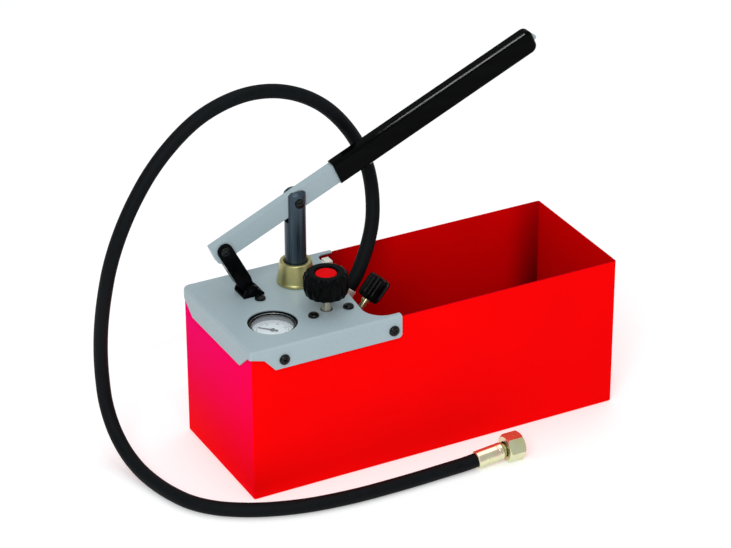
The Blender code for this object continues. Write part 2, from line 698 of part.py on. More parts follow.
def pump_body():
    outline = [(BODY_LEFT, BODY_TOP), (BODY_LEFT, BODY_BOTTOM), (TOE.x, BODY_BOTTOM), (TOE.x, TOE.z),
               (BODY_RIGHT, TOE.z + SLOPE_RISE), (BODY_RIGHT, BODY_TOP)]
    middle = (BODY_FRONT + BODY_BACK) / 2
    item = plate("pump_body", [outline], BODY_BACK - BODY_FRONT, (0, middle, 0), (1, 0, 0), (0, 0, 1), CAST)
    arm = box("body_arm", (BODY_LEFT - ARM_LENGTH, GAUGE_Y - ARM_WIDTH / 2, BODY_BOTTOM + BODY_EDGE),
              (BODY_LEFT + OVERRUN, GAUGE_Y + ARM_WIDTH / 2, BODY_BOTTOM + BODY_EDGE + ARM_HEIGHT))
    shape(item, arm, "UNION")
    ears = [(BODY_SCREWS[0], (-1, 0)), (BODY_SCREWS[2], (1, 0)), (BODY_SCREWS[3], (1, 0))]
    deep = SCREW_LENGTH - COVER_SHEET + GAP
    for k, ((x, y), (way, _)) in enumerate(ears):
        wide = SCREW_HEAD_R + GAP
        inner = (BODY_LEFT + OVERRUN) if way < 0 else (BODY_RIGHT - OVERRUN)
        outer = x + way * (SCREW_HEAD_R + 2 * GAP)
        ear = box(f"body_ear_{k + 1}", (min(inner, outer), y - wide, BODY_TOP - deep - EAR_FLOOR),
                  (max(inner, outer), y + wide, BODY_TOP - GAP / 3))
        shape(item, ear, "UNION")
    for k, (x, y) in enumerate(BODY_SCREWS):
        shape(item, rod(f"body_screw_hole_{k + 1}", SCREW_R + GAP, (x, y, BODY_TOP - deep),
                        (x, y, BODY_TOP + OVERRUN)))
    axis = (PLUNGER_X, PLUNGER_Y)
    seat_z = BODY_BOTTOM + CYLINDER_SEAT + GAP
    neck_z = COVER_TOP + GAP - GLAND_NECK - GAP - PACKING_HEIGHT
    bore = [(0, BODY_TOP + OVERRUN), (GLAND_NECK_R + GAP, BODY_TOP + OVERRUN), (GLAND_NECK_R + GAP, neck_z),
            (PLUNGER_R + 2 * GAP, neck_z), (PLUNGER_R + 2 * GAP, seat_z), (CYLINDER_R + GAP, seat_z),
            (CYLINDER_R + GAP, BODY_BOTTOM - OVERRUN), (0, BODY_BOTTOM - OVERRUN)]
    shape(item, turned("plunger_bore", bore, None, None, (*axis, 0)))
    low = BODY_TOP - DELIVERY_DEPTH
    shape(item, rod("delivery_bore", DELIVERY_R + GAP, (PLUNGER_X, DELIVERY_Y, low),
                    (PLUNGER_X, DELIVERY_Y, BODY_TOP + OVERRUN), sides=ROUND_STEPS))
    shape(item, rod("delivery_port", PORT_R, (PLUNGER_X, DELIVERY_Y, low + PORT_R + GAP),
                    (PLUNGER_X, PLUNGER_Y, low + PORT_R + GAP)))
    top = BODY_TOP
    pad = SPINDLE_R + GAP
    floor = COVER_TOP - SPINDLE_DEPTH - SEAT_PAD_H - 2 * GAP
    shape(item, turned("shutoff_bore", [(0, top + OVERRUN), (PACKING_NUT_R + GAP, top + OVERRUN),
                                        (PACKING_NUT_R + GAP, top - PACKING_NUT_H - GAP),
                                        (pad, top - PACKING_NUT_H - GAP), (pad, floor), (0, floor)],
                       None, None, (SHUTOFF_X, SHUTOFF_Y, 0)))
    shape(item, turned("drain_bore", [(0, OVERRUN), (BONNET_NECK_R + GAP, OVERRUN),
                                      (BONNET_NECK_R + GAP, -DRAIN_SPINDLE_DEPTH - SEAT_PAD_H - 2 * GAP),
                                      (0, -DRAIN_SPINDLE_DEPTH - SEAT_PAD_H - 2 * GAP)],
                       None, None, tilted(DRAIN_Y, DRAIN_UP, 0), SLOPE))
    shape(item, turned("outlet_bore", [(0, OVERRUN), (OUTLET_NECK_R + GAP, OVERRUN),
                                       (OUTLET_NECK_R + GAP, -OUTLET_NECK - GAP), (0, -OUTLET_NECK - GAP)],
                       None, None, tilted(OUTLET_Y, OUTLET_UP, 0), SLOPE))
    arm_top = BODY_BOTTOM + BODY_EDGE + ARM_HEIGHT
    shape(item, rod("gauge_bore", GAUGE_STEM_R + GAP, (GAUGE_X, GAUGE_Y, arm_top - GAUGE_STEM_SEAT - GAP),
                    (GAUGE_X, GAUGE_Y, arm_top + OVERRUN)))
    return item


body_item = pump_body()


# Cylinder, foot valve, strainer and delivery valve

def ball_seat(name, top, wall_r, height, room_top, place, mat, flange=0.0, flange_r=0.0):
    """A sleeve with a room for a ball over a narrow bore, and a flange below where one is given."""
    room = BALL_R + BALL_ROOM
    cone = room - PORT_R
    low = top - height
    points = [(room, top), (wall_r, top), (wall_r, low)]
    if flange:
        points += [(flange_r, low), (flange_r, low - flange)]
        low = low - flange
    points += [(PORT_R, low), (PORT_R, room_top - cone), (room, room_top)]
    return turned(name, points, mat, None, place, (0, 0, 1), ROUND_STEPS, True)


def ball(name, place, mat):
    form = bmesh.new()
    bmesh.ops.create_uvsphere(form, u_segments=12, v_segments=6, radius=BALL_R)
    data = bpy.data.meshes.new(name)
    form.to_mesh(data)
    form.free()
    item = bpy.data.objects.new(name, data)
    item.location = place
    link(item, mat)
    return smooth(item)


cylinder_top = BODY_BOTTOM + CYLINDER_SEAT
strainer_low = TANK_SHEET + STRAINER_CLEAR
cylinder_low = strainer_low + STRAINER_HEIGHT + GAP + FOOT_FLANGE + GAP
turned("pump_cylinder", [(CYLINDER_R, cylinder_top), (CYLINDER_R, cylinder_low),
                         (CYLINDER_R - CYLINDER_WALL, cylinder_low), (CYLINDER_R - CYLINDER_WALL, cylinder_top)],
       BRASS, None, (PLUNGER_X, PLUNGER_Y, 0), (0, 0, 1), ROUND_STEPS, True)
# A ball rests on a cone of 45 degrees, GAP above touching
REST = BALL_R * sqrt(2) + GAP
foot_top = cylinder_low + FOOT_NECK - GAP
foot_room = cylinder_low + FOOT_NECK / 4
ball_seat("foot_valve", foot_top, CYLINDER_R - CYLINDER_WALL - GAP, FOOT_NECK, foot_room,
          (PLUNGER_X, PLUNGER_Y, 0), BRASS, FOOT_FLANGE, CYLINDER_R)
foot_ball_z = foot_room - (BALL_R + BALL_ROOM) + REST
ball("foot_ball", (PLUNGER_X, PLUNGER_Y, foot_ball_z), STEEL)

foot_low = foot_top - FOOT_NECK - FOOT_FLANGE
strainer_top = foot_low - GAP
strainer = turned("strainer", [(STRAINER_R, strainer_top), (STRAINER_R, strainer_top - STRAINER_HEIGHT),
                               (0, strainer_top - STRAINER_HEIGHT),
                               (0, strainer_top - STRAINER_HEIGHT + STRAINER_WALL),
                               (STRAINER_R - STRAINER_WALL, strainer_top - STRAINER_HEIGHT + STRAINER_WALL),
                               (STRAINER_R - STRAINER_WALL, strainer_top)], BLACK, None,
                  (PLUNGER_X, PLUNGER_Y, 0), (0, 0, 1), ROUND_STEPS, True)
for k in range(STRAINER_SLOTS // 2):
    angle = pi * (2 * k + 1) / STRAINER_SLOTS
    slot = box(f"strainer_slot_{k + 1}",
               (-STRAINER_R - OVERRUN, -STRAINER_SLOT / 2, -STRAINER_SLOT_LENGTH / 2),
               (STRAINER_R + OVERRUN, STRAINER_SLOT / 2, STRAINER_SLOT_LENGTH / 2))
    slot.matrix_world = Matrix.Translation((PLUNGER_X, PLUNGER_Y, strainer_top - STRAINER_HEIGHT / 2)) @ \
        Matrix.Rotation(angle, 4, "Z")
    shape(strainer, slot)

delivery_low = BODY_TOP - DELIVERY_DEPTH
seat_low = delivery_low + 2 * PORT_R + 2 * GAP
seat_height = DELIVERY_SEAT + BALL_R
seat_room = seat_low + DELIVERY_SEAT + GAP
ball_seat("delivery_seat", seat_low + seat_height, DELIVERY_R, seat_height, seat_room,
          (PLUNGER_X, DELIVERY_Y, 0), BRASS)
ball("delivery_ball", (PLUNGER_X, DELIVERY_Y, seat_room - (BALL_R + BALL_ROOM) + REST), STEEL)
plug_top = BODY_TOP - GAP
turned("delivery_plug", [(0, plug_top), (DELIVERY_R, plug_top), (DELIVERY_R, plug_top - DELIVERY_PLUG),
                         (0, plug_top - DELIVERY_PLUG)], BRASS, None, (PLUNGER_X, DELIVERY_Y, 0))

# Gland nut and its packing

gland_z = COVER_TOP + GAP
neck_low = gland_z - GLAND_NECK
gland_bore = PLUNGER_R + GAP
gland_top = gland_z + GLAND_HEIGHT
turned("gland_nut", [(gland_bore + GLAND_MOUTH, gland_top), (GLAND_TOP_R - GLAND_RIM, gland_top),
                     (GLAND_TOP_R, gland_top - GLAND_RIM),
                     (GLAND_BASE_R - GLAND_SKIRT_STEP, gland_z + GLAND_SKIRT),
                     (GLAND_BASE_R, gland_z + GLAND_SKIRT_EDGE),
                     (GLAND_BASE_R, gland_z), (GLAND_NECK_R, gland_z), (GLAND_NECK_R, neck_low),
                     (gland_bore, neck_low), (gland_bore, gland_top - GLAND_MOUTH_DEPTH)],
       OLIVE, None, (PLUNGER_X, PLUNGER_Y, 0), (0, 0, 1), ROUND_STEPS, True)
turned("gland_packing", [(GLAND_NECK_R, neck_low - GAP), (GLAND_NECK_R, neck_low - PACKING_HEIGHT),
                         (gland_bore, neck_low - PACKING_HEIGHT), (gland_bore, neck_low - GAP)],
       SEALING, None, (PLUNGER_X, PLUNGER_Y, 0), (0, 0, 1), ROUND_STEPS, True)

# Plunger with its fork, and the pin through it

PIN_B = Vector((PLUNGER_X, PLUNGER_Y, LEVER_PIN_Z + LEVER_ARM * sin(LEVER_ANGLE)))
plunger = frame("plunger", (PLUNGER_X, PLUNGER_Y, PIN_B.z))
rod_top = PLUNGER_OVER_PIN
rod_low = BODY_BOTTOM - PIN_B.z     # at rest it ends level with the body's underside
piston = turned("piston_rod", [(0, rod_top), (PLUNGER_R - PLUNGER_CHAMFER, rod_top),
                               (PLUNGER_R, rod_top - PLUNGER_CHAMFER), (PLUNGER_R, rod_low + PLUNGER_CHAMFER / 2),
                               (PLUNGER_R - PLUNGER_CHAMFER / 2, rod_low), (0, rod_low)], ROD, plunger)
fork = box("fork_slot", (-PLUNGER_R - OVERRUN, -LEVER_THICK / 2 - GAP, rod_top - FORK_DEPTH),
           (PLUNGER_R + OVERRUN, LEVER_THICK / 2 + GAP, rod_top + OVERRUN))
fork.parent = plunger
shape(piston, fork)
pin_hole = rod("fork_hole", PIN_R + GAP / 2, (0, -PLUNGER_R - OVERRUN, 0), (0, PLUNGER_R + OVERRUN, 0))
pin_hole.parent = plunger
shape(piston, pin_hole)


def pin(name, reach, parent, mat, radius, head_r, head_h, clip):
    """A pin along Y about its parent's origin: a stepped domed head in front, and a groove end behind."""
    profile = [(0, head_h)] + [(head_r * r, head_h * h) for r, h in PIN_HEAD_SHARES]
    profile += [(head_r, 0), (radius, 0), (radius, -2 * reach - clip), (0, -2 * reach - clip)]
    return turned(name, profile, mat, parent, (0, -reach, 0), (0, -1, 0), SMALL_STEPS)


def clip_ring(name, y, parent, radius, outer):
    """A retaining ring on a pin's end."""
    return turned(name, [(outer, 0), (outer, -CLIP_THICK), (radius + GAP / 2, -CLIP_THICK), (radius + GAP / 2, 0)],
                  STEEL, parent, (0, y, 0), (0, -1, 0), SMALL_STEPS, True)


pin("rod_pin", PLUNGER_R + GAP, plunger, BLACK_STEEL, PIN_R, PIN_HEAD_R, PIN_HEAD_H, CLIP_THICK + 2 * GAP)
clip_ring("rod_pin_clip", PLUNGER_R + GAP, plunger, PIN_R, CLIP_R)

# Lever, grip and link

lever = frame("lever", (LEVER_PIN_X, PLUNGER_Y, LEVER_PIN_Z), Matrix.Rotation(-LEVER_ANGLE, 3, "Y"))
half = LEVER_HEIGHT / 2
thin = LEVER_THICK / 2
grip_end = GRIP_START + GRIP_LENGTH
tang_start = GRIP_START + GRIP_LAP
tail_r = LEVER_TAIL_CORNER
slot_front = LEVER_ARM - PIN_R - SLOT_BACK
slot_end = LEVER_ARM + PIN_R + SLOT_AHEAD
slot_r = PIN_R + SLOT_ROOM


def stadium(start, end, radius):
    return arc(end - radius, 0, radius, -90, 90, 6) + arc(start + radius, 0, radius, 90, 270, 6)


bar_outline = arc(-LEVER_TAIL + tail_r, -half + tail_r, tail_r, 180, 270, 3) + \
    [(tang_start, -half), (tang_start, -LEVER_TANG_HEIGHT / 2), (grip_end - GRIP_CORNER, -LEVER_TANG_HEIGHT / 2),
     (grip_end - GRIP_CORNER, -TONGUE_R), (grip_end + TONGUE_OUT, -TONGUE_R),
     (grip_end + TONGUE_OUT, TONGUE_R), (grip_end - GRIP_CORNER, TONGUE_R),
     (grip_end - GRIP_CORNER, LEVER_TANG_HEIGHT / 2), (tang_start, LEVER_TANG_HEIGHT / 2), (tang_start, half)] + \
    arc(-LEVER_TAIL + tail_r, half - tail_r, tail_r, 90, 180, 3)
bar_holes = [circle(0, 0, PIN_R + GAP, SMALL_STEPS), stadium(slot_front, slot_end, slot_r)]
bar = plate("lever_bar", [bar_outline] + bar_holes, LEVER_THICK, (0, 0, 0), (1, 0, 0), (0, 0, 1),
            GREY, lever)
bar.matrix_local = Matrix.Rotation(pi / 2, 4, "X")
for side in (-1, 1):
    near = side * LEVER_TANG_THICK / 2
    far = side * LEVER_THICK
    shave = box(f"tang_cut_{side + 2}", (tang_start, min(near, far), -LEVER_HEIGHT),
                (grip_end + TONGUE_OUT + OVERRUN, max(near, far), LEVER_HEIGHT))
    shave.parent = lever
    shape(bar, shave)

grip_outline = [(GRIP_START, -GRIP_HEIGHT / 2)] + \
    arc(grip_end - GRIP_CORNER, -GRIP_HEIGHT / 2 + GRIP_CORNER, GRIP_CORNER, 270, 360, 5) + \
    arc(grip_end - GRIP_CORNER, GRIP_HEIGHT / 2 - GRIP_CORNER, GRIP_CORNER, 0, 90, 5) + \
    [(GRIP_START, GRIP_HEIGHT / 2)]
grip = plate("grip", [grip_outline], GRIP_THICK, (0, 0, 0), (1, 0, 0), (0, 0, 1), GLOSS, lever)
grip.matrix_local = Matrix.Rotation(pi / 2, 4, "X")
round_off = grip.modifiers.new("round", "BEVEL")
round_off.width = GRIP_EDGE
round_off.segments = 3
round_off.limit_method = "ANGLE"
round_off.angle_limit = radians(60)
pockets = [("grip_mouth", GRIP_START - OVERRUN, tang_start + GAP, half + GAP, thin + GAP),
           ("grip_pocket", GRIP_START, grip_end - GRIP_CORNER + GAP, LEVER_TANG_HEIGHT / 2 + GAP,
            LEVER_TANG_THICK / 2 + GAP),
           ("grip_end_hole", grip_end - 2 * GRIP_CORNER, grip_end + OVERRUN, TONGUE_R + GAP,
            LEVER_TANG_THICK / 2 + GAP)]
for name, start, end, tall, wide in pockets:
    pocket = box(name, (start, -wide, -tall), (end, wide, tall))
    pocket.parent = lever
    shape(grip, pocket)

LINK_PIN = Vector((LEVER_PIN_X + LINK_LENGTH * sin(LINK_ANGLE), PLUNGER_Y, COVER_TOP + LINK_PIN_RISE))
link_frame = frame("link_pivot", LINK_PIN, Matrix.Rotation(-LINK_ANGLE, 3, "Y"))
side_w = LINK_WIDTH / 2
cheek_in = LEVER_THICK / 2 + GAP
cheek_out = LINK_HALF
cheek_outline = arc(0, 0, LINK_FOOT_R, 200, 340, 6) + [(side_w, LINK_WIDTH / 2 + LINK_FOOT_R)] + \
    arc(0, LINK_LENGTH, side_w, 0, 180, 12) + [(-side_w, LINK_WIDTH / 2 + LINK_FOOT_R)]
cheek_holes = [circle(0, 0, LINK_PIN_R + GAP), circle(0, LINK_LENGTH, PIN_R + GAP / 2)]
front_cheek = plate("link", [cheek_outline] + cheek_holes, LINK_SHEET, (0, 0, 0), (1, 0, 0), (0, 1, 0),
                    BLACK_STEEL, link_frame)
back_cheek = plate("back_cheek", [cheek_outline] + cheek_holes, LINK_SHEET, (0, 0, 0), (1, 0, 0), (0, 1, 0))
upright = Matrix.Rotation(pi / 2, 4, "X")
front_cheek.matrix_local = Matrix.Translation((0, -cheek_in - LINK_SHEET / 2, 0)) @ upright
back_cheek.parent = link_frame
back_cheek.matrix_local = Matrix.Translation((0, cheek_in + LINK_SHEET / 2, 0)) @ upright
web = box("link_web", (-side_w, -cheek_out + LINK_SHEET / 4, side_w + LINK_FOOT_R),
          (-side_w + LINK_SHEET, cheek_out - LINK_SHEET / 4, LINK_LENGTH - LINK_WEB_TOP))
web.parent = link_frame
shape(front_cheek, web, "UNION")
shape(front_cheek, back_cheek, "UNION")

lever_pin_frame = frame("lever_pin_seat", (LEVER_PIN_X, PLUNGER_Y, LEVER_PIN_Z))
pin("lever_pin", cheek_out + GAP, lever_pin_frame, BLACK_STEEL, PIN_R, PIN_HEAD_R, LEVER_PIN_HEAD_H,
    CLIP_THICK + 2 * GAP)
clip_ring("lever_pin_clip", cheek_out + GAP, lever_pin_frame, PIN_R, CLIP_R)

# Bracket of the link on the cover

ear_in = cheek_out + BRACKET_SIDE
ear_out = BRACKET_HALF
ground = COVER_TOP + GAP
rise = LINK_PIN.z - ground
ear_outline = [(-BRACKET_LEFT, -rise), (BRACKET_RIGHT, -rise), (BRACKET_RIGHT, -rise + BRACKET_SHEET)] + \
    arc(0, 0, BRACKET_TOP_R, 20, 160, 8) + [(-BRACKET_LEFT, -rise + BRACKET_SHEET)]
bracket = box("link_bracket", (LINK_PIN.x - BRACKET_LEFT, PLUNGER_Y - ear_out, ground),
              (LINK_PIN.x + BRACKET_RIGHT, PLUNGER_Y + ear_out, ground + BRACKET_SHEET), BLACK_STEEL)
window_half = LINK_FOOT_R + GAP
window = box("bracket_window", (LINK_PIN.x - window_half, PLUNGER_Y - cheek_out - 2 * GAP, ground - OVERRUN),
             (LINK_PIN.x + window_half, PLUNGER_Y + cheek_out + 2 * GAP, ground + BRACKET_SHEET + OVERRUN))
for way in (-1, 1):
    ear = plate(f"bracket_ear_{way + 2}", [ear_outline, circle(0, 0, LINK_PIN_R + GAP / 2)], BRACKET_SHEET,
                (LINK_PIN.x, PLUNGER_Y + way * (ear_in + ear_out) / 2, LINK_PIN.z), (1, 0, 0), (0, 0, 1))
    shape(bracket, ear, "UNION")
shape(bracket, window)
rod("bracket_pin", LINK_PIN_R, (LINK_PIN.x, PLUNGER_Y - ear_out, LINK_PIN.z),
    (LINK_PIN.x, PLUNGER_Y + ear_out, LINK_PIN.z), BLACK_STEEL)

# Gauge, sunk in the cover

gauge_top = COVER_TOP - GAUGE_RIM_DROP
gauge_low = gauge_top - GAUGE_DEPTH
inner_r = GAUGE_R - GAUGE_WALL
lens_top = COVER_TOP - LENS_DROP
dial_top = lens_top - LENS_THICK - DIAL_ROOM
dial_low = dial_top - DIAL_THICK
ledge = inner_r - BEZEL_WIDTH
turned("gauge_case", [(GAUGE_R, gauge_top), (GAUGE_R, gauge_low), (GAUGE_STEM_R, gauge_low),
                      (GAUGE_STEM_R, gauge_low + GAUGE_WALL), (ledge, gauge_low + GAUGE_WALL),
                      (ledge, dial_low - GAP),
                      (inner_r, dial_low - GAP), (inner_r, gauge_top)],
       BLACK, None, (GAUGE_X, GAUGE_Y, 0), (0, 0, 1), ROUND_STEPS, True)
turned("gauge_dial", [(NEEDLE_PIVOT_R + GAP, dial_top), (inner_r - GAP, dial_top), (inner_r - GAP, dial_low),
                      (NEEDLE_PIVOT_R + GAP, dial_low)],
       DIAL_WHITE, None, (GAUGE_X, GAUGE_Y, 0), (0, 0, 1), ROUND_STEPS, True)
turned("gauge_lens", [(0, lens_top), (inner_r - GAP, lens_top), (inner_r - GAP, lens_top - LENS_THICK),
                      (0, lens_top - LENS_THICK)], GLASS, None, (GAUGE_X, GAUGE_Y, 0))
bezel_low = dial_top + GAP
turned("gauge_spacer", [(inner_r - GAP, lens_top - LENS_THICK - GAP), (inner_r - GAP, bezel_low),
                        (ledge, bezel_low), (ledge, lens_top - LENS_THICK - GAP)],
       ZINC, None, (GAUGE_X, GAUGE_Y, 0), (0, 0, 1), ROUND_STEPS, True)
turned("gauge_bezel", [(inner_r - GAP, gauge_top - GAP), (inner_r - GAP, lens_top + GAP),
                       (ledge, lens_top + GAP), (ledge, gauge_top - GAP)],
       ZINC, None, (GAUGE_X, GAUGE_Y, 0), (0, 0, 1), ROUND_STEPS, True)

needle_frame = frame("needle_axis", (GAUGE_X, GAUGE_Y, dial_top), Matrix.Rotation(NEEDLE_START, 3, "Z"))
needle_outline = [(-NEEDLE_TAIL, -NEEDLE_HALF), (NEEDLE_STRAIGHT, -NEEDLE_HALF), (NEEDLE_LENGTH, -NEEDLE_TIP_HALF),
                  (NEEDLE_LENGTH, NEEDLE_TIP_HALF), (NEEDLE_STRAIGHT, NEEDLE_HALF), (-NEEDLE_TAIL, NEEDLE_HALF)]
needle = plate("gauge_needle", [needle_outline], NEEDLE_THICK, (0, 0, 0), (1, 0, 0), (0, 1, 0), BLACK_STEEL,
               needle_frame)
needle.matrix_local = Matrix.Translation((0, 0, NEEDLE_RISE + NEEDLE_THICK / 2))
hub = turned("needle_hub", [(0, NEEDLE_RISE + 2 * NEEDLE_THICK), (NEEDLE_HUB_R, NEEDLE_RISE + 2 * NEEDLE_THICK),
                            (NEEDLE_HUB_R, NEEDLE_RISE - NEEDLE_THICK / 2),
                            (NEEDLE_PIVOT_R, NEEDLE_RISE - NEEDLE_THICK / 2),
                            (NEEDLE_PIVOT_R, -DIAL_THICK - OVERRUN), (0, -DIAL_THICK - OVERRUN)],
             None, None, (0, 0, 0), (0, 0, 1), SMALL_STEPS)
hub.parent = needle_frame
shape(needle, hub, "UNION")

arm_top = BODY_BOTTOM + BODY_EDGE + ARM_HEIGHT
stem = rod("gauge_stem", GAUGE_STEM_ACROSS / 2 / cos(pi / 6), (GAUGE_X, GAUGE_Y, arm_top + GAP),
           (GAUGE_X, GAUGE_Y, gauge_low - GAP), BRASS, None, 6)
shape(stem, rod("stem_neck", GAUGE_STEM_R, (GAUGE_X, GAUGE_Y, arm_top - GAUGE_STEM_SEAT),
                (GAUGE_X, GAUGE_Y, arm_top + 2 * GAP)), "UNION")
shape(stem, rod("stem_tip", GAUGE_STEM_R - GAP, (GAUGE_X, GAUGE_Y, gauge_low - 2 * GAP),
                (GAUGE_X, GAUGE_Y, dial_low - GAUGE_TIP_DROP)), "UNION")

# Shut-off valve: packing nut, seat pad, spindle, knob, its screw and cap

knob_low = COVER_TOP + KNOB_RISE
knob_top = knob_low + KNOB_HEIGHT
spindle_low = COVER_TOP - SPINDLE_DEPTH
cap_low = knob_top - CAP_DROP - CAP_THICK
screw_low = cap_low - GAP - KNOB_SCREW_H
hub_top = screw_low - GAP
turned("shutoff_packing_nut", [(PACKING_NUT_R, BODY_TOP - GAP), (PACKING_NUT_R, BODY_TOP - PACKING_NUT_H),
                               (SPINDLE_R + GAP, BODY_TOP - PACKING_NUT_H), (SPINDLE_R + GAP, BODY_TOP - GAP)],
       BRASS, None, (SHUTOFF_X, SHUTOFF_Y, 0), (0, 0, 1), ROUND_STEPS, True)
shutoff = frame("shutoff_axis", (SHUTOFF_X, SHUTOFF_Y, 0))
turned("shutoff_pad", [(0, spindle_low - GAP), (SPINDLE_R, spindle_low - GAP),
                       (SPINDLE_R, spindle_low - GAP - SEAT_PAD_H), (0, spindle_low - GAP - SEAT_PAD_H)],
       SEALING, shutoff, steps=SMALL_STEPS)
spindle_top = hub_top - 4 * GAP
spindle_bore = KNOB_SCREW_SHANK_R
spindle_end = spindle_top - KNOB_SCREW_SHANK
turned("shutoff_spindle", [(0, spindle_end - GAP), (spindle_bore + GAP, spindle_end - GAP),
                           (spindle_bore + GAP, spindle_top), (SPINDLE_R, spindle_top), (SPINDLE_R, spindle_low),
                           (0, spindle_low)], STEEL, shutoff, steps=SMALL_STEPS)
turned("knob_screw", [(0, screw_low + KNOB_SCREW_H), (KNOB_SCREW_R, screw_low + KNOB_SCREW_H),
                      (KNOB_SCREW_R, screw_low), (spindle_bore, screw_low), (spindle_bore, spindle_end),
                      (0, spindle_end)], STEEL, shutoff, steps=SMALL_STEPS)
knob_profile = [(CAP_R + GAP, knob_top), (KNOB_TOP_R, knob_top)]
knob_profile += [(KNOB_TOP_R + KNOB_SHOULDER * r, knob_top - KNOB_SHOULDER * h) for r, h in KNOB_SHOULDER_SHARES]
knob_profile += [(KNOB_R, knob_low + KNOB_TAPER_HEIGHT), (KNOB_FOOT_R, knob_low), (SPINDLE_R + GAP, knob_low),
                 (SPINDLE_R + GAP, spindle_top + GAP), (spindle_bore + GAP, spindle_top + GAP),
                 (spindle_bore + GAP, hub_top), (CAP_R + GAP, hub_top)]
knob = turned("shutoff_knob", knob_profile, BLACK, shutoff, steps=ROUND_STEPS, ring=True)
for k in range(KNOB_FLUTES):
    angle = 2 * pi * (k + 0.5) / KNOB_FLUTES
    out = KNOB_R + KNOB_FLUTE_R - KNOB_FLUTE_DEPTH
    x = SHUTOFF_X + out * cos(angle)
    y = SHUTOFF_Y + out * sin(angle)
    shape(knob, rod(f"knob_flute_{k + 1}", KNOB_FLUTE_R, (x, y, knob_low - OVERRUN), (x, y, knob_top + OVERRUN),
                    sides=8))
turned("shutoff_cap", [(0, cap_low + CAP_THICK), (CAP_R, cap_low + CAP_THICK), (CAP_R, cap_low), (0, cap_low)],
       CAP_RED, shutoff)

# Drain valve: bonnet, seat pad, spindle with its collar, fluted knob

drain = frame("drain_axis", tilted(DRAIN_Y, DRAIN_UP, 0), Matrix.Rotation(pi / 2 - VALVE_TILT, 3, "Y"))
bonnet = rod("drain_bonnet", BONNET_ACROSS / 2 / cos(pi / 6), (0, 0, GAP), (0, 0, BONNET_LENGTH), BRASS, drain, 6)
neck = rod("bonnet_neck", BONNET_NECK_R, (0, 0, -DRAIN_SPINDLE_DEPTH / 2), (0, 0, 2 * GAP))
bonnet_bore = rod("bonnet_bore", DRAIN_SPINDLE_R + GAP, (0, 0, -DRAIN_SPINDLE_DEPTH),
                  (0, 0, BONNET_LENGTH + OVERRUN))
for tool, how in ((neck, "UNION"), (bonnet_bore, "DIFFERENCE")):
    tool.parent = drain
    shape(bonnet, tool, how)
turned("drain_pad", [(0, -DRAIN_SPINDLE_DEPTH - GAP), (BONNET_NECK_R, -DRAIN_SPINDLE_DEPTH - GAP),
                     (BONNET_NECK_R, -DRAIN_SPINDLE_DEPTH - SEAT_PAD_H), (0, -DRAIN_SPINDLE_DEPTH - SEAT_PAD_H)],
       SEALING, drain, steps=SMALL_STEPS)
grip_in = DRAIN_KNOB_GRIP
base = DRAIN_KNOB_RISE
turned("drain_spindle", [(0, base + grip_in), (DRAIN_SPINDLE_R, base + grip_in), (DRAIN_SPINDLE_R, base - GAP),
                         (DRAIN_COLLAR_R, base - GAP), (DRAIN_COLLAR_R, base - DRAIN_COLLAR_LENGTH),
                         (DRAIN_SPINDLE_R, base - DRAIN_COLLAR_LENGTH), (DRAIN_SPINDLE_R, -DRAIN_SPINDLE_DEPTH),
                         (0, -DRAIN_SPINDLE_DEPTH)], BRASS, drain, steps=SMALL_STEPS)
edge = DRAIN_KNOB_EDGE
drain_knob = turned("drain_knob", [(0, base + DRAIN_KNOB_LENGTH), (DRAIN_KNOB_R - edge, base + DRAIN_KNOB_LENGTH),
                                   (DRAIN_KNOB_R, base + DRAIN_KNOB_LENGTH - edge), (DRAIN_KNOB_R, base + edge),
                                   (DRAIN_KNOB_R - edge, base), (DRAIN_SPINDLE_R + GAP, base),
                                   (DRAIN_SPINDLE_R + GAP, base + grip_in + GAP), (0, base + grip_in + GAP)],
                    BLACK, drain, steps=ROUND_STEPS)
for k in range(DRAIN_FLUTES):
    angle = 2 * pi * (k + 0.5) / DRAIN_FLUTES
    out = DRAIN_KNOB_R + DRAIN_FLUTE_R - DRAIN_FLUTE_DEPTH
    x = out * cos(angle)
    y = out * sin(angle)
    flute = rod(f"drain_flute_{k + 1}", DRAIN_FLUTE_R, (x, y, base - OVERRUN),
                (x, y, base + DRAIN_KNOB_LENGTH + OVERRUN), sides=8)
    flute.parent = drain
    shape(drain_knob, flute)

# Hose outlet on the sloped face

outlet = frame("outlet_axis", tilted(OUTLET_Y, OUTLET_UP, 0), Matrix.Rotation(pi / 2 - VALVE_TILT, 3, "Y"))
nipple = rod("hose_nipple", OUTLET_ACROSS / 2 / cos(pi / 6), (0, 0, GAP), (0, 0, OUTLET_HEX), ZINC, outlet, 6)
ferrule_low = OUTLET_HEX + GAP
ferrule_top = ferrule_low + START_FERRULE_LENGTH
for name, r, low, high in (("nipple_neck", OUTLET_NECK_R, -OUTLET_NECK, 2 * GAP),
                           ("nipple_barb", BARB_R, OUTLET_HEX - GAP, ferrule_top - OVERRUN)):
    tool = rod(name, r, (0, 0, low), (0, 0, high))
    tool.parent = outlet
    shape(nipple, tool, "UNION")


def ferrule(name, length, parent, low):
    """A crimped sleeve: two raised bands, closed over the hose end."""
    high = low + length
    r = FERRULE_R
    waist = r - FERRULE_WAIST
    radii = [r - FERRULE_START_STEP, r, r, waist, waist, r, r, r - FERRULE_END_STEP]
    side = [(radius, low + length * share) for share, radius in zip(FERRULE_BAND_SHARES, radii)]
    side.reverse()
    return turned(name, [(BARB_R + GAP, high)] + side + [(BARB_R + GAP, low)], ZINC, parent, ring=True)


ferrule("start_ferrule", START_FERRULE_LENGTH, outlet, ferrule_low)

# Bent clip beside the cut-out, under the cover's edge

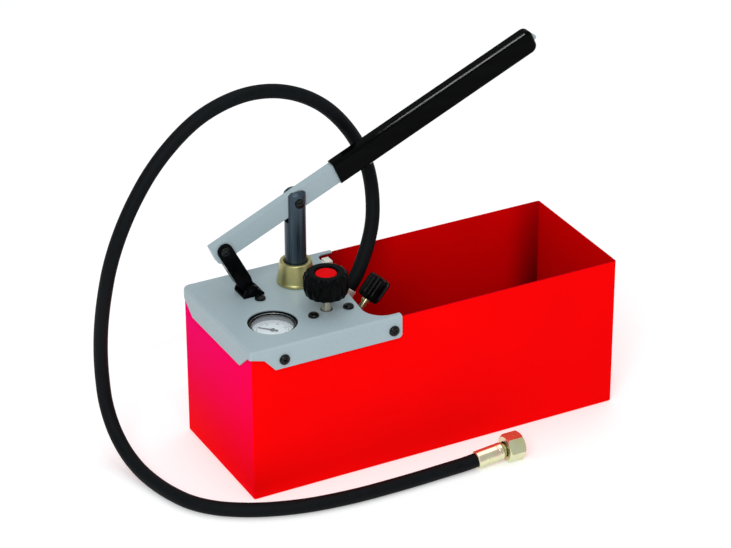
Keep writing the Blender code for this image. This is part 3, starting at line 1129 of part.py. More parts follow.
clip_right = HORN_X - CUT_BACK_DEPTH + COVER_SHEET + GAP
under = COVER_TOP - COVER_SHEET - GAP
clip_low = COVER_TOP - CLIP_LIP
clip_outline = [(clip_right - CLIP_FOOT, under - CLIP_SHEET), (clip_right + CLIP_SHEET, under - CLIP_SHEET),
                (clip_right + CLIP_SHEET, under - GAP), (clip_right + CLIP_TAB - CLIP_SHEET, under - GAP),
                (clip_right + CLIP_TAB - CLIP_SHEET, clip_low), (clip_right + CLIP_TAB, clip_low),
                (clip_right + CLIP_TAB, COVER_TOP), (clip_right, COVER_TOP), (clip_right, under),
                (clip_right - CLIP_FOOT, under)]
plate("edge_clip", [clip_outline], CLIP_WIDTH, (0, CLIP_Y, 0), (1, 0, 0), (0, 0, 1), ZINC)

# Hose: a smooth curve through chosen points, millimetres

ROUTE = [(-37.5, 21.7, 147.8), (-30.5, 25.7, 155), (-23.5, 31, 162.5), (-16.5, 37, 170.5), (-5, 49.5, 187.5),
         (0.8, 60.5, 208), (-0.3, 66.5, 231.5), (-8, 68, 254.5), (-20, 67, 276), (-34.5, 66, 295.5),
         (-52.5, 65, 312),
         (-73, 64, 325), (-96, 64, 333.5), (-120, 64, 336.5), (-144.5, 64, 334.5), (-167.5, 63, 326.5),
         (-189, 61.5, 315), (-208, 59.5, 300), (-225, 57.5, 283), (-240, 55.5, 263.5), (-252.5, 54.5, 242.5),
         (-262.5, 54, 220.5), (-269.5, 55.5, 197), (-273.5, 58.5, 173), (-275.2, 63.5, 149), (-275.5, 68.8, 125.5),
         (-275.2, 72.5, 101), (-274.5, 73.3, 77), (-274, 68.3, 53), (-273, 55, 33), (-271, 35, 19),
         (-267.5, 12.4, 10.8),
         (-262.5, -11.5, 7.4), (-256, -35.5, 6.8), (-246.5, -57.5, 6.8), (-231, -76.2, 6.8), (-211.3, -90.2, 6.8),
         (-189.4, -101, 6.8), (-166, -108.5, 6.8), (-142, -113.5, 6.8), (-118, -116.4, 6.8), (-93.5, -117.7, 6.8),
         (-69, -118, 6.8), (-44.5, -117.7, 6.8), (-20, -117.2, 7)]
HOSE_STRAIGHT = 5 * MM       # straight piece at each end, square to its ferrule


def smooth_route(points, first_way, last_way, count):
    """Points at even steps along a natural-looking curve through the given ones."""
    n = len(points)
    span = [(points[k + 1] - points[k]).length for k in range(n - 1)]
    ways = []
    for k in range(n):
        if k == 0:
            ways.append(first_way.normalized())
        elif k == n - 1:
            ways.append(last_way.normalized())
        else:
            a = (points[k] - points[k - 1]) / span[k - 1]
            b = (points[k + 1] - points[k]) / span[k]
            ways.append((a * span[k] + b * span[k - 1]) / (span[k] + span[k - 1]))
    fine = []
    for k in range(n - 1):
        for j in range(12):
            t = j / 12
            fine.append(points[k] * (2 * t ** 3 - 3 * t ** 2 + 1) + ways[k] * span[k] * (t ** 3 - 2 * t ** 2 + t)
                        + points[k + 1] * (3 * t ** 2 - 2 * t ** 3) + ways[k + 1] * span[k] * (t ** 3 - t ** 2))
    fine.append(points[-1])
    run = [0.0]
    for k in range(len(fine) - 1):
        run.append(run[-1] + (fine[k + 1] - fine[k]).length)
    even = []
    at = 0
    for k in range(count):
        goal = run[-1] * k / (count - 1)
        while at < len(run) - 2 and run[at + 1] < goal:
            at += 1
        share = (goal - run[at]) / (run[at + 1] - run[at])
        even.append(fine[at].lerp(fine[at + 1], min(max(share, 0), 1)))
    return even, run[-1]


END_WAY = Vector((cos(END_TILT), 0, sin(END_TILT)))
END_START = Vector((END_FERRULE_X, END_Y, END_FERRULE_Z))
hose_first = tilted(OUTLET_Y, OUTLET_UP, ferrule_top + GAP)
hose_last = END_START - END_WAY * GAP
route = [Vector(p) * MM for p in ROUTE]
route = [hose_first + SLOPE * HOSE_STRAIGHT] + route + [hose_last - END_WAY * HOSE_STRAIGHT]
hose_line, hose_length = smooth_route(route, SLOPE, END_WAY, HOSE_STEPS)
hose_line = [hose_first] + hose_line + [hose_last]
hose_length += 2 * HOSE_STRAIGHT
hose_curve = bpy.data.curves.new("hose", "CURVE")
hose_curve.dimensions = "3D"
hose_curve.bevel_depth = HOSE_R
hose_curve.bevel_resolution = HOSE_RING_STEPS
hose_curve.use_fill_caps = True
spline = hose_curve.splines.new("POLY")
spline.points.add(len(hose_line) - 1)
for k, point in enumerate(hose_line):
    spline.points[k].co = (*point, 1)
hose = bpy.data.objects.new("hose", hose_curve)
CUTTERS.objects.link(hose)
smooth(as_mesh(hose, RUBBER))

# Free end: ferrule and nipple on one axis, the union nut flat on the ground

end = frame("hose_end", END_START, Matrix.Rotation(pi / 2 - END_TILT, 3, "Y"))
ferrule("end_ferrule", END_FERRULE_LENGTH, end, 0.0)
head_at = (HEAD_X - END_FERRULE_X) / cos(END_TILT)
collar_at = END_FERRULE_LENGTH + GAP
head_low = head_at - END_HEAD / 2
turned("end_nipple", [(0, head_low + END_HEAD), (END_HEAD_R, head_low + END_HEAD), (END_HEAD_R, head_low),
                      (END_TAIL_R, head_low), (END_TAIL_R, collar_at + END_COLLAR),
                      (END_COLLAR_R, collar_at + END_COLLAR),
                      (END_COLLAR_R, collar_at), (BARB_R, collar_at), (BARB_R, OVERRUN), (0, OVERRUN)],
       BRASS, end, steps=ROUND_STEPS)
seal_low = head_low + END_HEAD + GAP
turned("end_seal", [(SEAL_R, seal_low + SEAL_THICK), (SEAL_R, seal_low), (SEAL_HOLE_R, seal_low),
                    (SEAL_HOLE_R, seal_low + SEAL_THICK)],
       RUBBER, end, steps=ROUND_STEPS, ring=True)

swivel = frame("union_axis", (NUT_X, END_Y, NUT_AXIS_Z))
corner_r = UNION_ACROSS / 2 / cos(pi / 6)
union_nut = rod("union_nut", corner_r, (0, 0, 0), (UNION_LENGTH, 0, 0), OLIVE, swivel, 6)
flat_r = UNION_ACROSS / 2 - GAP
trim = turned("union_trim", [(0, UNION_LENGTH + OVERRUN / 4), (flat_r, UNION_LENGTH + OVERRUN / 4),
                             (flat_r, UNION_LENGTH), (corner_r + GAP, UNION_LENGTH - UNION_CHAMFER),
                             (corner_r + GAP, UNION_CHAMFER),
                             (flat_r, 0), (flat_r, -OVERRUN / 4), (0, -OVERRUN / 4)],
              None, None, (0, 0, 0), (1, 0, 0), ROUND_STEPS)
trim.parent = swivel
shape(union_nut, trim, "INTERSECT")
union_bore = turned("union_bore", [(0, UNION_LENGTH + OVERRUN), (UNION_BORE_R, UNION_LENGTH + OVERRUN),
                                   (UNION_BORE_R, UNION_BACK_WALL), (UNION_BACK_R, UNION_BACK_WALL),
                                   (UNION_BACK_R, -OVERRUN), (0, -OVERRUN)],
                    None, None, (0, 0, 0), (1, 0, 0), ROUND_STEPS)
union_bore.parent = swivel
shape(union_nut, union_bore)

print("hose length", round(hose_length / MM, 1), "mm")
print("plunger pin", [round(v / MM, 2) for v in PIN_B], "link pin", [round(v / MM, 2) for v in LINK_PIN])
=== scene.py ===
"""Looks of a hand pressure test pump: red water tank, grey cover, lever, gauge, valves and hose.

Shapes are drawn in millimetres, in the frame's own place, and scaled to metres when they become pieces.
Numbers inside a finish are in metres, apart from shares, tones and noise scales.
"""
import json
from math import cos, radians, sin, tan, tau

import bmesh
import bpy
from mathutils import Matrix, Vector


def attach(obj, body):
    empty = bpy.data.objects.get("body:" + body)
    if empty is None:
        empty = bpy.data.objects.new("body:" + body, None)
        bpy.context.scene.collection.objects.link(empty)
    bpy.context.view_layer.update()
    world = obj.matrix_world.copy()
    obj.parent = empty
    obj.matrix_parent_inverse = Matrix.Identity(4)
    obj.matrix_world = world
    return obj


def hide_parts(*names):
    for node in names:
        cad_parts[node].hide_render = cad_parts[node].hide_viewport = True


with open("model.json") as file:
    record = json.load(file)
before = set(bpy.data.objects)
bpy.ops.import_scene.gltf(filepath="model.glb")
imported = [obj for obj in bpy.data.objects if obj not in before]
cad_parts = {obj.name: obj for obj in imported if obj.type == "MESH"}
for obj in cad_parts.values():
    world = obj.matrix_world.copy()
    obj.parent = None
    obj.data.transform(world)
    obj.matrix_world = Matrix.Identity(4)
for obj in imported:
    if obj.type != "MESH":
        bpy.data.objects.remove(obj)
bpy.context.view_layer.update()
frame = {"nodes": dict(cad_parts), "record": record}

MM = 0.001

# where the main pieces stand, in millimetres
GLAND = Vector((-94.4, 31.0, 0.0))
GAUGE = Vector((-148.0, -29.0, 0.0))
SHUTOFF = Vector((-94.0, -30.0, 0.0))
DRAIN = Vector((-65.145, -16.0, 121.03))
OUTLET = Vector((-62.464, 20.0, 118.78))
LEANING = Vector((0.642788, 0.0, 0.766044))
LEVER_PIN = Vector((-168.032, 31.0, 205.2))
LEVER_RISE = radians(24.0)
LEVER_ALONG = Vector((cos(LEVER_RISE), 0, sin(LEVER_RISE)))
LEVER_UP = Vector((-sin(LEVER_RISE), 0, cos(LEVER_RISE)))
TANK_END, TANK_SIDE, TANK_TOP = 190.0, 71.3, 152.0
HOSE_RADIUS = 6.7
FERRULE_START = Vector((15.0, -117.2, 8.6))
FERRULE_WAY = Vector((0.9952, 0.0, 0.09784)).normalized()
UNION = Vector((45.2, -117.2, 12.1))

# dial: where its scale starts and how far it goes, in degrees, and the height of its print
SCALE_START = 134.0
SCALE_SWEEP = 270.0
PRINT_HEIGHT = 144.84


def put(name, data):
    """A new object of this data, in the scene."""
    made = bpy.data.objects.new(name, data)
    bpy.context.scene.collection.objects.link(made)
    return made


def fill(made, **values):
    """The same thing, with these of its settings filled in."""
    for key, value in values.items():
        setattr(made, key, value)
    return made


def axes(across, upward, outward, origin):
    """A frame from the ways of its X, Y and Z, and its origin."""
    made = Matrix((across, upward, outward)).transposed().to_4x4()
    made.translation = origin
    return made


# camera


def photo_camera():
    """The camera that fits the photo, 731 pixels wide."""
    side, rise, lean = radians(-27.57), radians(28.17), radians(-0.20)
    sensor, pixels_deep, pixels_wide = 36.0, 2999.88, 731.0
    back = Vector((sin(side) * cos(rise), -cos(side) * cos(rise), sin(rise)))
    right = Vector((cos(side), sin(side), 0.0))
    up = back.cross(right)
    across = right * cos(lean) + up * sin(lean)
    upward = up * cos(lean) - right * sin(lean)
    camera = put("photo_camera", fill(
        bpy.data.cameras.new("photo_camera"), sensor_width=sensor, lens=pixels_deep * sensor / pixels_wide,
        clip_end=60.0))
    camera.matrix_world = axes(across, upward, back, Vector((-1.16786623, -2.16375279, 1.46863362)))
    bpy.context.scene.camera = camera


photo_camera()


# finishes


def ink(*tone):
    """A colour from 0 to 255 as light strengths."""
    parts = [value / 255 for value in tone]
    return *(part / 12.92 if part <= 0.04045 else ((part + 0.055) / 1.055) ** 2.4 for part in parts), 1.0


class Nodes:
    """A node tree that is filled from code."""

    def feed(self, source, target):
        if isinstance(source, bpy.types.NodeSocket):
            self.tree.links.new(source, target)
        else:
            target.default_value = source

    def node(self, kind, inputs=(), out=0, **values):
        """What a new node with these inputs and settings gives out."""
        made = fill(self.tree.nodes.new(kind), **values)
        for key, value in dict(inputs).items():
            self.feed(value, made.inputs[key])
        return made.outputs[out]

    def sum(self, kind, *values):
        return self.node("ShaderNodeMath", enumerate(values), operation=kind)

    def times(self, first, second):
        return self.sum("MULTIPLY", first, second)

    def split(self, source=None):
        return self.node("ShaderNodeSeparateXYZ", {0: source or self.place}, slice(None))

    def combine(self, *values):
        return self.node("ShaderNodeCombineXYZ", enumerate(values))

    def span(self, value, start, stop, low=0.0, high=1.0, smooth=False):
        return self.node("ShaderNodeMapRange", {
            "Value": value, "From Min": start, "From Max": stop, "To Min": low, "To Max": high},
            interpolation_type="SMOOTHSTEP" if smooth else "LINEAR")

    def reach(self, x, y):
        """How far a point is from the Z axis."""
        return self.sum("SQRT", self.sum("ADD", self.times(x, x), self.times(y, y)))


class Finish(Nodes):
    """One finish: a shader, and the nodes that vary its colour, gloss and surface."""

    def __init__(self, name, **steady):
        self.material = bpy.data.materials.new(name)
        self.material.use_nodes = True
        self.tree = self.material.node_tree
        self.shader = self.tree.nodes["Principled BSDF"]
        self.place = self.node("ShaderNodeTexCoord", out="Object")
        for socket, value in steady.items():
            socket = "Specular IOR Level" if socket == "specular" else socket.replace("_", " ").title()
            self.shader.inputs[socket].default_value = value

    def along(self, scale=(1, 1, 1), turn=(0, 0, 0), shift=(0, 0, 0)):
        return self.node("ShaderNodeMapping", {
            "Vector": self.place, "Scale": scale, "Rotation": turn, "Location": shift})

    def cloud(self, scale, detail=3.0, turn=(0, 0, 0)):
        """Soft noise, stretched where it gets three scales."""
        place, scale = (self.along(scale, turn), 1.0) if isinstance(scale, tuple) else (self.place, scale)
        return self.node("ShaderNodeTexNoise", {
            "Vector": place, "Scale": scale, "Detail": detail, "Roughness": 0.55})

    def blend(self, share, first, second):
        return self.node("ShaderNodeMix", {0: share, 6: first, 7: second}, 2, data_type="RGBA")

    def ramp(self, value, *stops):
        made = self.node("ShaderNodeValToRGB", {"Fac": value})
        steps = made.node.color_ramp.elements
        while len(steps) < len(stops):
            steps.new(0.5)
        for step, (position, *tone) in zip(steps, stops):
            step.position = position
            step.color = ink(*tone)
        return made

    def build(self, colour, gloss, *layers):
        """The material, from noise with two ends for its gloss and heights with depths in metres for its relief."""
        noise, low, high = gloss
        self.feed(colour, self.shader.inputs["Base Color"])
        self.feed(self.span(noise, 0.3, 0.7, low, high), self.shader.inputs["Roughness"])
        last = {}
        for height, depth in layers:
            last = {"Normal": self.node("ShaderNodeBump", {
                "Strength": 1.0, "Distance": depth, "Height": height, **last})}
        self.feed(last["Normal"], self.shader.inputs["Normal"])
        return self.material


def coat(name, grains, tones, gloss, depth, **steady):
    """A plain finish. One grain, as noise settings, or three vary its tones, its gloss and its relief."""
    finish = Finish(name, **steady)
    clouds = [finish.cloud(*grain) for grain in grains]
    tone, shine, height = clouds * (3 // len(clouds))
    return finish.build(finish.ramp(tone, *tones), (shine, *gloss), (height, depth))


def red_enamel():
    """Glossy red enamel on the tank: orange-peel skin, a painted reflection that turns the end wall magenta high up
    and towards the back, a darker rim.
    """
    paint = Finish("red_enamel", specular=0.001)
    drift = paint.span(paint.cloud(7.0, 2.0), 0.35, 0.65)
    red = paint.blend(drift, ink(241, 5, 7), ink(235, 5, 7))
    x, y, z = paint.split()
    # painted reflection: on the end wall the red turns magenta towards the top and the back
    end = paint.span(x, (0.15 - TANK_END) * MM, (0.7 - TANK_END) * MM, 1.0, 0.0)
    height = paint.times(paint.span(z, 0.0, 0.15, 0.0, 1.0, True), paint.span(y, -0.08, 0.06, 0.6, 1.1))
    painted_sheen = paint.blend(height, ink(251, 2, 16), ink(247, 6, 104))
    rim = paint.span(z, (TANK_TOP - 0.6) * MM, (TANK_TOP - 0.1) * MM, 0.0, 0.75)
    return paint.build(
        paint.blend(rim, paint.blend(end, red, painted_sheen), ink(136, 2, 20)),
        (paint.cloud(60.0), 0.30, 0.40), (paint.cloud(900.0, 1.0), 0.000008))


def inside_enamel():
    """The same enamel inside the tank: duller, with painted shade: darker towards the bottom, and darkest on the back
    wall's far corner and under the cover.
    """
    paint = Finish("inside_enamel", specular=0.03)
    drift = paint.span(paint.cloud(9.0, 3.0), 0.35, 0.65)
    x, y, z = paint.split()
    # painted shade: the walls darken towards the bottom
    depth = paint.span(z, 0.0, 0.152, 0.0, 1.0)
    high = paint.blend(drift, ink(211, 0, 2), ink(201, 1, 2))
    low = paint.blend(drift, ink(181, 0, 2), ink(171, 1, 3))
    # painted shade on the back wall, deepest in its far corner and under the cover
    back = paint.span(y, 0.0685, 0.0695)
    corner = paint.times(paint.span(x, 0.148, 0.1885, 0.0, 1.0, True), paint.span(z, 0.04, 0.152, 0.95, 0.35))
    covered = paint.span(x, -0.075, 0.005, 0.85, 0.0, True)
    painted_shade = paint.times(back, paint.sum("MAXIMUM", corner, covered))
    return paint.build(
        paint.blend(painted_shade, paint.blend(depth, low, high), ink(52, 0, 5)),
        (paint.cloud(80.0), 0.34, 0.48), (paint.cloud(900.0, 1.0), 0.00001))


def grey_enamel():
    """Satin blue-grey powder coat on the cover and the lever bar."""
    paint = Finish("grey_enamel", specular=0.3)
    drift = paint.span(paint.cloud(18.0, 3.0), 0.35, 0.65)
    speck = paint.span(paint.cloud(1400.0, 1.0), 0.35, 0.65)
    tone = paint.blend(drift, ink(154, 172, 178), ink(149, 167, 173))
    return paint.build(
        paint.blend(speck, tone, ink(158, 176, 182)),
        (paint.cloud(140.0), 0.30, 0.40), (paint.cloud(900.0, 2.0), 0.00001))


def grey_ring():
    """Satin grey of the ring between dial and window, with painted shade: darker towards the window."""
    ring = Finish("grey_ring", specular=0.3)
    rise = ring.span(ring.split()[2], 0.1451, 0.1485)
    drift = ring.cloud(300.0, 2.0)
    # painted shade: the ring turns near black towards the window
    tone = ring.blend(rise, ink(96, 108, 117), ink(30, 36, 42))
    return ring.build(
        ring.blend(ring.span(drift, 0.3, 0.7, 0.0, 0.25), tone, ink(120, 132, 140)),
        (drift, 0.3, 0.42), (drift, 0.000002))


def slate_steel():
    """Dark ground steel of the plunger, with long grinding streaks."""
    steel = Finish("slate_steel", metallic=0.75, specular=0.5)
    streak = steel.cloud((900, 900, 22), 4.0)
    ring = steel.cloud((40, 40, 1800), 2.0)
    return steel.build(
        steel.ramp(streak, (0.30, 46, 58, 68), (0.55, 60, 75, 86), (0.75, 78, 94, 105)),
        (streak, 0.30, 0.44), (streak, 0.000006), (ring, 0.000003))


def passivated():
    """Yellow passivated zinc: gold that drifts to green and rose, on a turned surface."""
    zinc = Finish("passivated", metallic=0.92)
    drift = zinc.cloud(45.0, 1.0)
    fine = zinc.cloud(500.0, 1.0)
    gold = zinc.ramp(drift, (0.30, 226, 221, 180), (0.46, 217, 220, 166), (0.60, 225, 230, 195),
                     (0.74, 229, 211, 188))
    return zinc.build(
        zinc.blend(zinc.span(fine, 0.3, 0.7, 0.0, 0.18), gold, ink(206, 203, 146)),
        (fine, 0.22, 0.28), (fine, 0.0000002))


def olive_brass():
    """Turned brass gone olive on the gland."""
    brass = Finish("olive_brass", metallic=0.9)
    rings = brass.cloud((30, 30, 1500), 3.0)
    drift = brass.cloud(60.0, 3.0)
    tone = brass.ramp(drift, (0.3, 170, 166, 110), (0.55, 181, 177, 122), (0.8, 161, 154, 97))
    return brass.build(
        brass.blend(brass.span(rings, 0.35, 0.65, 0.0, 0.12), tone, ink(206, 200, 150)),
        (rings, 0.36, 0.42), (rings, 0.0000005))


def sand_cast():
    """Cast aluminium of the pump body, lightly blasted."""
    metal = Finish("sand_cast", metallic=0.85)
    drift = metal.cloud(45.0, 4.0)
    grains = metal.cloud(1100.0, 3.0)
    return metal.build(
        metal.ramp(drift, (0.3, 158, 161, 163), (0.7, 186, 188, 188)),
        (grains, 0.45, 0.65), (drift, 0.0004), (grains, 0.00010))


def cloth_rubber():
    """Black hose rubber that keeps the print of the cloth it was cured in."""
    rubber = Finish("cloth_rubber", specular=0.07)
    run = rubber.node("ShaderNodeUVMap", uv_map="around_hose")
    u, v, _ = rubber.split(run)
    # the hose's girth in metres, and how close the threads and the turns of the wrap lie, in radians to a metre
    girth, threads, wraps = 0.042, 4200, 230
    warp, weft = (rubber.sum("SINE", rubber.times(rubber.sum(kind, u, rubber.times(v, girth)), threads))
                  for kind in ("ADD", "SUBTRACT"))
    weave = rubber.span(rubber.times(warp, weft), -1.0, 1.0)
    wrap = rubber.sum("SINE", rubber.sum("ADD", rubber.times(u, wraps), rubber.times(v, tau)))
    dust = rubber.cloud(160.0, 4.0)
    mixed = rubber.blend(rubber.span(dust, 0.35, 0.7), ink(5, 8, 10), ink(13, 17, 20))
    return rubber.build(
        rubber.blend(rubber.span(weave, 0.2, 0.9, 0.0, 0.4), mixed, ink(19, 24, 27)),
        (dust, 0.5, 0.68), (rubber.span(wrap, 0.6, 1.0), 0.00003), (weave, 0.00006), (dust, 0.00008))


def printed_white():
    """White dial plate with two faint printed arcs, the inner one reddish at the top of the scale."""
    plate = Finish("printed_white", specular=0.3)
    x, y, _ = plate.split(plate.along(shift=(-GAUGE.x * MM, -GAUGE.y * MM, 0.0)))
    reach = plate.reach(x, y)
    outer, inner = (
        plate.sum("LESS_THAN", plate.sum("ABSOLUTE", plate.sum("SUBTRACT", reach, radius)), half_width)
        for radius, half_width in ((0.0147, 0.00022), (0.0127, 0.00016)))
    red_part = plate.times(inner, plate.sum("LESS_THAN", plate.sum("ARCTAN2", y, x), -0.6))
    noise = plate.cloud(300.0, 2.0)
    base = plate.blend(plate.span(noise, 0.3, 0.7), ink(228, 239, 243), ink(219, 232, 238))
    base = plate.blend(plate.times(outer, 0.75), base, ink(60, 66, 72))
    return plate.build(plate.blend(red_part, base, ink(196, 62, 58)), (noise, 0.35, 0.5),
                      (plate.cloud(2200.0, 1.0), 0.00001))


# the grains, tones, gloss and relief of moulded black plastic with a fine sparked skin
MOULDED = ((120.0,), (400.0,), (900.0, 1.0)), ((0.35, 4, 5, 5), (0.65, 9, 10, 11)), (0.16, 0.26), 1e-6

FINISHES = {
    "red_paint": red_enamel(),
    "grey_paint": grey_enamel(),
    "black_plastic": coat("moulded_black", *MOULDED, specular=0.03),
    # vinyl dipped over the lever bar: deep, with faint long runs
    "gloss_black": coat("dipped_black", [((8, 120, 90), 2.0, (0.0, LEVER_RISE, 0.0))], (
        (0.35, 1, 1, 1), (0.65, 4, 5, 5)), (0.04, 0.08), 4e-6, specular=0.036),
    # coated steel of the link, its foot and the gauge
    "black_steel": coat("blackened_steel", [(90.0,), (300.0,), (500.0, 2.0)], (
        (0.35, 3, 4, 4), (0.65, 8, 9, 10)), (0.12, 0.2), 6e-6, specular=0.04),
    "cap_red": coat("cap_red", [(160.0,), (160.0,), (1800.0, 2.0)], (
        (0.3, 216, 4, 12), (0.7, 206, 2, 10)), (0.3, 0.42), 2e-5, specular=0.02),
    "dark_steel": slate_steel(),
    "passivated_zinc": passivated(),
    "brass": olive_brass(),
    # clear zinc plate on the clip and the first ferrule
    "zinc": coat("bright_zinc", [(140.0,), (700.0,), (400.0, 2.0)], (
        (0.3, 218, 220, 212), (0.6, 234, 234, 224), (0.8, 208, 212, 208)), (0.2, 0.34), 5e-7,
        metallic=0.4),
    "cast_aluminium": sand_cast(),
    "bright_steel": coat("turned_steel", [((40, 40, 1700),)], (
        (0.3, 176, 180, 182), (0.6, 204, 206, 206), (0.8, 160, 165, 168)), (0.16, 0.3), 1e-6,
        metallic=1.0),
    "rubber": cloth_rubber(),
    "white_seal": coat("seal_white", [(200.0,), (200.0,), (1500.0, 2.0)], (
        (0.3, 226, 226, 218), (0.7, 238, 238, 232)), (0.4, 0.55), 2e-5, specular=0.4),
    "dial_white": printed_white(),
    # thin clear window: mostly open, with a soft reflection and a little haze
    "glass": coat("gauge_window", [(40.0,)], (
        (0.3, 232, 240, 244), (0.7, 244, 248, 250)), (0.03, 0.07), 4e-5,
        specular=0.6, alpha=0.10),
}
FINISHES["glass"].surface_render_method = "BLENDED"
# print on the dial, and the needle's lacquer
PRINT = coat("printed_black", [(900.0, 2.0)], ((0.3, 44, 48, 52), (0.7, 60, 64, 68)), (0.35, 0.5), 1e-5,
             specular=0.3)
INSIDE = inside_enamel()
# screws and pins: darker than the coated steel, with a sharp shine
OILED = coat("oiled_black", [(260.0,), (500.0,), (900.0, 1.0)], (
    (0.35, 5, 6, 7), (0.65, 14, 16, 17)), (0.08, 0.16), 1e-6, specular=0.2)
# warm plate on the valve spindle, drawn in fine rings
NICKEL = coat("nickel", [((60, 60, 1400),)], (
    (0.3, 190, 184, 166), (0.6, 214, 208, 190), (0.8, 170, 164, 146)), (0.26, 0.36), 2e-6,
    metallic=0.85)
POLISHED = coat("polished_black", *MOULDED, specular=0.10)
RING = grey_ring()
SLOT_OF = {row["node"]: row["material_slot"] for row in frame["record"]["subparts"]}
BODY_OF = {node: body for body, members in frame["record"]["behaviour"]["bodies"].items() for node in members}
OWN_FINISH = {"gauge_spacer": RING, "drain_spindle": FINISHES["passivated_zinc"], "shutoff_spindle": NICKEL,
              **dict.fromkeys(("rod_pin", "lever_pin", "rod_pin_clip", "lever_pin_clip", "bracket_pin"), OILED)}

for node, piece in frame["nodes"].items():
    for place in piece.material_slots:
        place.material = OWN_FINISH.get(node) or FINISHES[SLOT_OF[node]]


# shapes


def stand(origin, way=Vector((0, 0, 1)), side=Vector((1, 0, 0))):
    """A frame at a point whose Z runs along the way."""
    up = Vector(way).normalized()
    across = (Vector(side) - up * up.dot(Vector(side))).normalized()
    return axes(across, up.cross(across), up, Vector(origin))


def dress(piece, node, angle=35, finish=None, slot=None, nodes=None):
    """Gives a shape the finish of a node's slot and the node's body, in place of that node or of the given ones.

    It is smoothed up to an angle, if one is given.
    """
    slot, body, nodes = slot or SLOT_OF[node], BODY_OF[node], (node,) if nodes is None else nodes
    piece.data.materials.clear()
    piece.data.materials.append(finish or FINISHES[slot])
    if angle:
        piece.data.shade_smooth()
        piece.data.set_sharp_from_angle(angle=radians(angle))
    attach(piece, body)
    if nodes:
        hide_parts(*nodes)
    return piece


def drawn(name, shape):
    """The mesh of a drawn shape, which is used up."""
    mesh = bpy.data.meshes.new(name)
    shape.to_mesh(mesh)
    shape.free()
    return mesh


def as_object(name, shape, place=None, merge=0.0015, turn_out=True):
    """A drawn shape, still in millimetres, as an object in metres."""
    bmesh.ops.remove_doubles(shape, verts=shape.verts[:], dist=merge)
    if turn_out:
        bmesh.ops.recalc_face_normals(shape, faces=shape.faces[:])
    if place is not None:
        shape.transform(place)
    shape.transform(Matrix.Scale(MM, 4))
    return put(name, drawn(name, shape))


def evaluated(piece):
    """What a piece's own data and modifiers make, as a new mesh."""
    bpy.context.view_layer.update()
    return bpy.data.meshes.new_from_object(piece.evaluated_get(bpy.context.evaluated_depsgraph_get()))


def settle(piece):
    """Turns what the modifiers make into the piece's own plain mesh."""
    made = evaluated(piece)
    piece.modifiers.clear()
    piece.data = made
    return piece


def soften(piece, width, angle=32, segments=2):
    """Rounds a piece's edges by a width in millimetres."""
    fill(piece.modifiers.new("soft_edges", "BEVEL"), width=width * MM, segments=segments, limit_method="ANGLE",
         angle_limit=radians(angle), use_clamp_overlap=True, miter_outer="MITER_ARC")
    piece.data.shade_smooth()
    piece.modifiers.new("flat_faces_stay_flat", "WEIGHTED_NORMAL").weight = 90
    return settle(piece)


def bridge(shape, first, second, closed=True):
    """Faces between two rows of points. A row of one point is a pole."""
    count = max(len(first), len(second))
    faces = []
    for place in range(count if closed else count - 1):
        after = (place + 1) % count
        corners = (first[place % len(first)], first[after % len(first)],
                   second[after % len(second)], second[place % len(second)])
        faces.append(shape.faces.new(list(dict.fromkeys(corners))))
    return faces


def loft(rings):
    """A shape through rings of as many points, with flat ends."""
    shape = bmesh.new()
    rows = [[shape.verts.new(spot) for spot in ring] for ring in rings]
    for first, second in zip(rows, rows[1:]):
        bridge(shape, first, second)
    shape.faces.new(rows[0][::-1])
    shape.faces.new(rows[-1])
    return shape


def joined(shape, other):
    """A drawn shape with a second one added."""
    holder = drawn("joined", other)
    shape.from_mesh(holder)
    bpy.data.meshes.remove(holder)
    return shape


def turned(profile, steps=96, closed=False, swell=None):
    """A shape turned about Z from its points of radius and height."""
    shape = bmesh.new()
    rings = []
    for radius, height in profile:
        ring = []
        for step in range(steps if radius > 1e-4 else 1):
            angle = tau * step / steps
            reach = swell(radius, angle) if swell else radius
            ring.append(shape.verts.new((reach * cos(angle), reach * sin(angle), height)))
        rings.append(ring)
    for low, high in zip(rings, rings[1:] + rings[:1] if closed else rings[1:]):
        bridge(shape, low, high)
    return shape


def eased(points, radius=0.3, steps=3, closed=False):
    """The same line with its corners rounded."""
    line = []
    count = len(points)
    for place in range(count):
        corner = Vector(points[place])
        before = Vector(points[place - 1]) - corner
        after = Vector(points[(place + 1) % count]) - corner
        half = before.angle(after) / 2
        if half > radians(86) or not closed and place in (0, count - 1):
            line.append(tuple(corner))
            continue
        reach = min(radius / tan(half), before.length * 0.45, after.length * 0.45)
        first = corner + before.normalized() * reach
        last = corner + after.normalized() * reach
        for t in (step / steps for step in range(steps + 1)):
            line.append(tuple(first * (1 - t) ** 2 + corner * 2 * t * (1 - t) + last * t ** 2))
    return line


def arc(middle, radius, first, last, steps):
    """Points on a circle, from one angle in degrees to another."""
    angles = [radians(first + (last - first) * step / steps) for step in range(steps + 1)]
    return [(middle[0] + radius * cos(angle), middle[1] + radius * sin(angle)) for angle in angles]


def cap(shape, loops):
    """Triangles over the flat area between closed rows of points."""
    pairs = [(loop[place - 1], loop[place]) for loop in loops for place in range(len(loop))]
    edges = [shape.edges.get(pair) or shape.edges.new(pair) for pair in pairs]
    bmesh.ops.triangle_fill(shape, use_beauty=True, edges=edges)


def slab(outline, low, high, holes=()):
    """A flat plate of an outline with holes, between two heights."""
    shape = bmesh.new()
    walls = []
    for loop in (outline, *holes):
        wall = [[shape.verts.new((x, y, level)) for x, y in loop] for level in (low, high)]
        bridge(shape, *wall)
        walls.append(wall)
    for level in (0, 1):
        cap(shape, [wall[level] for wall in walls])
    return shape


def lathe(name, node, spot, profile, ease, steps=3, closed=False, angle=40, **more):
    """A piece turned about an upright axis."""
    piece = as_object(name, turned(eased(profile, ease, steps, closed), 96, closed), stand(spot))
    return dress(piece, node, angle, **more)


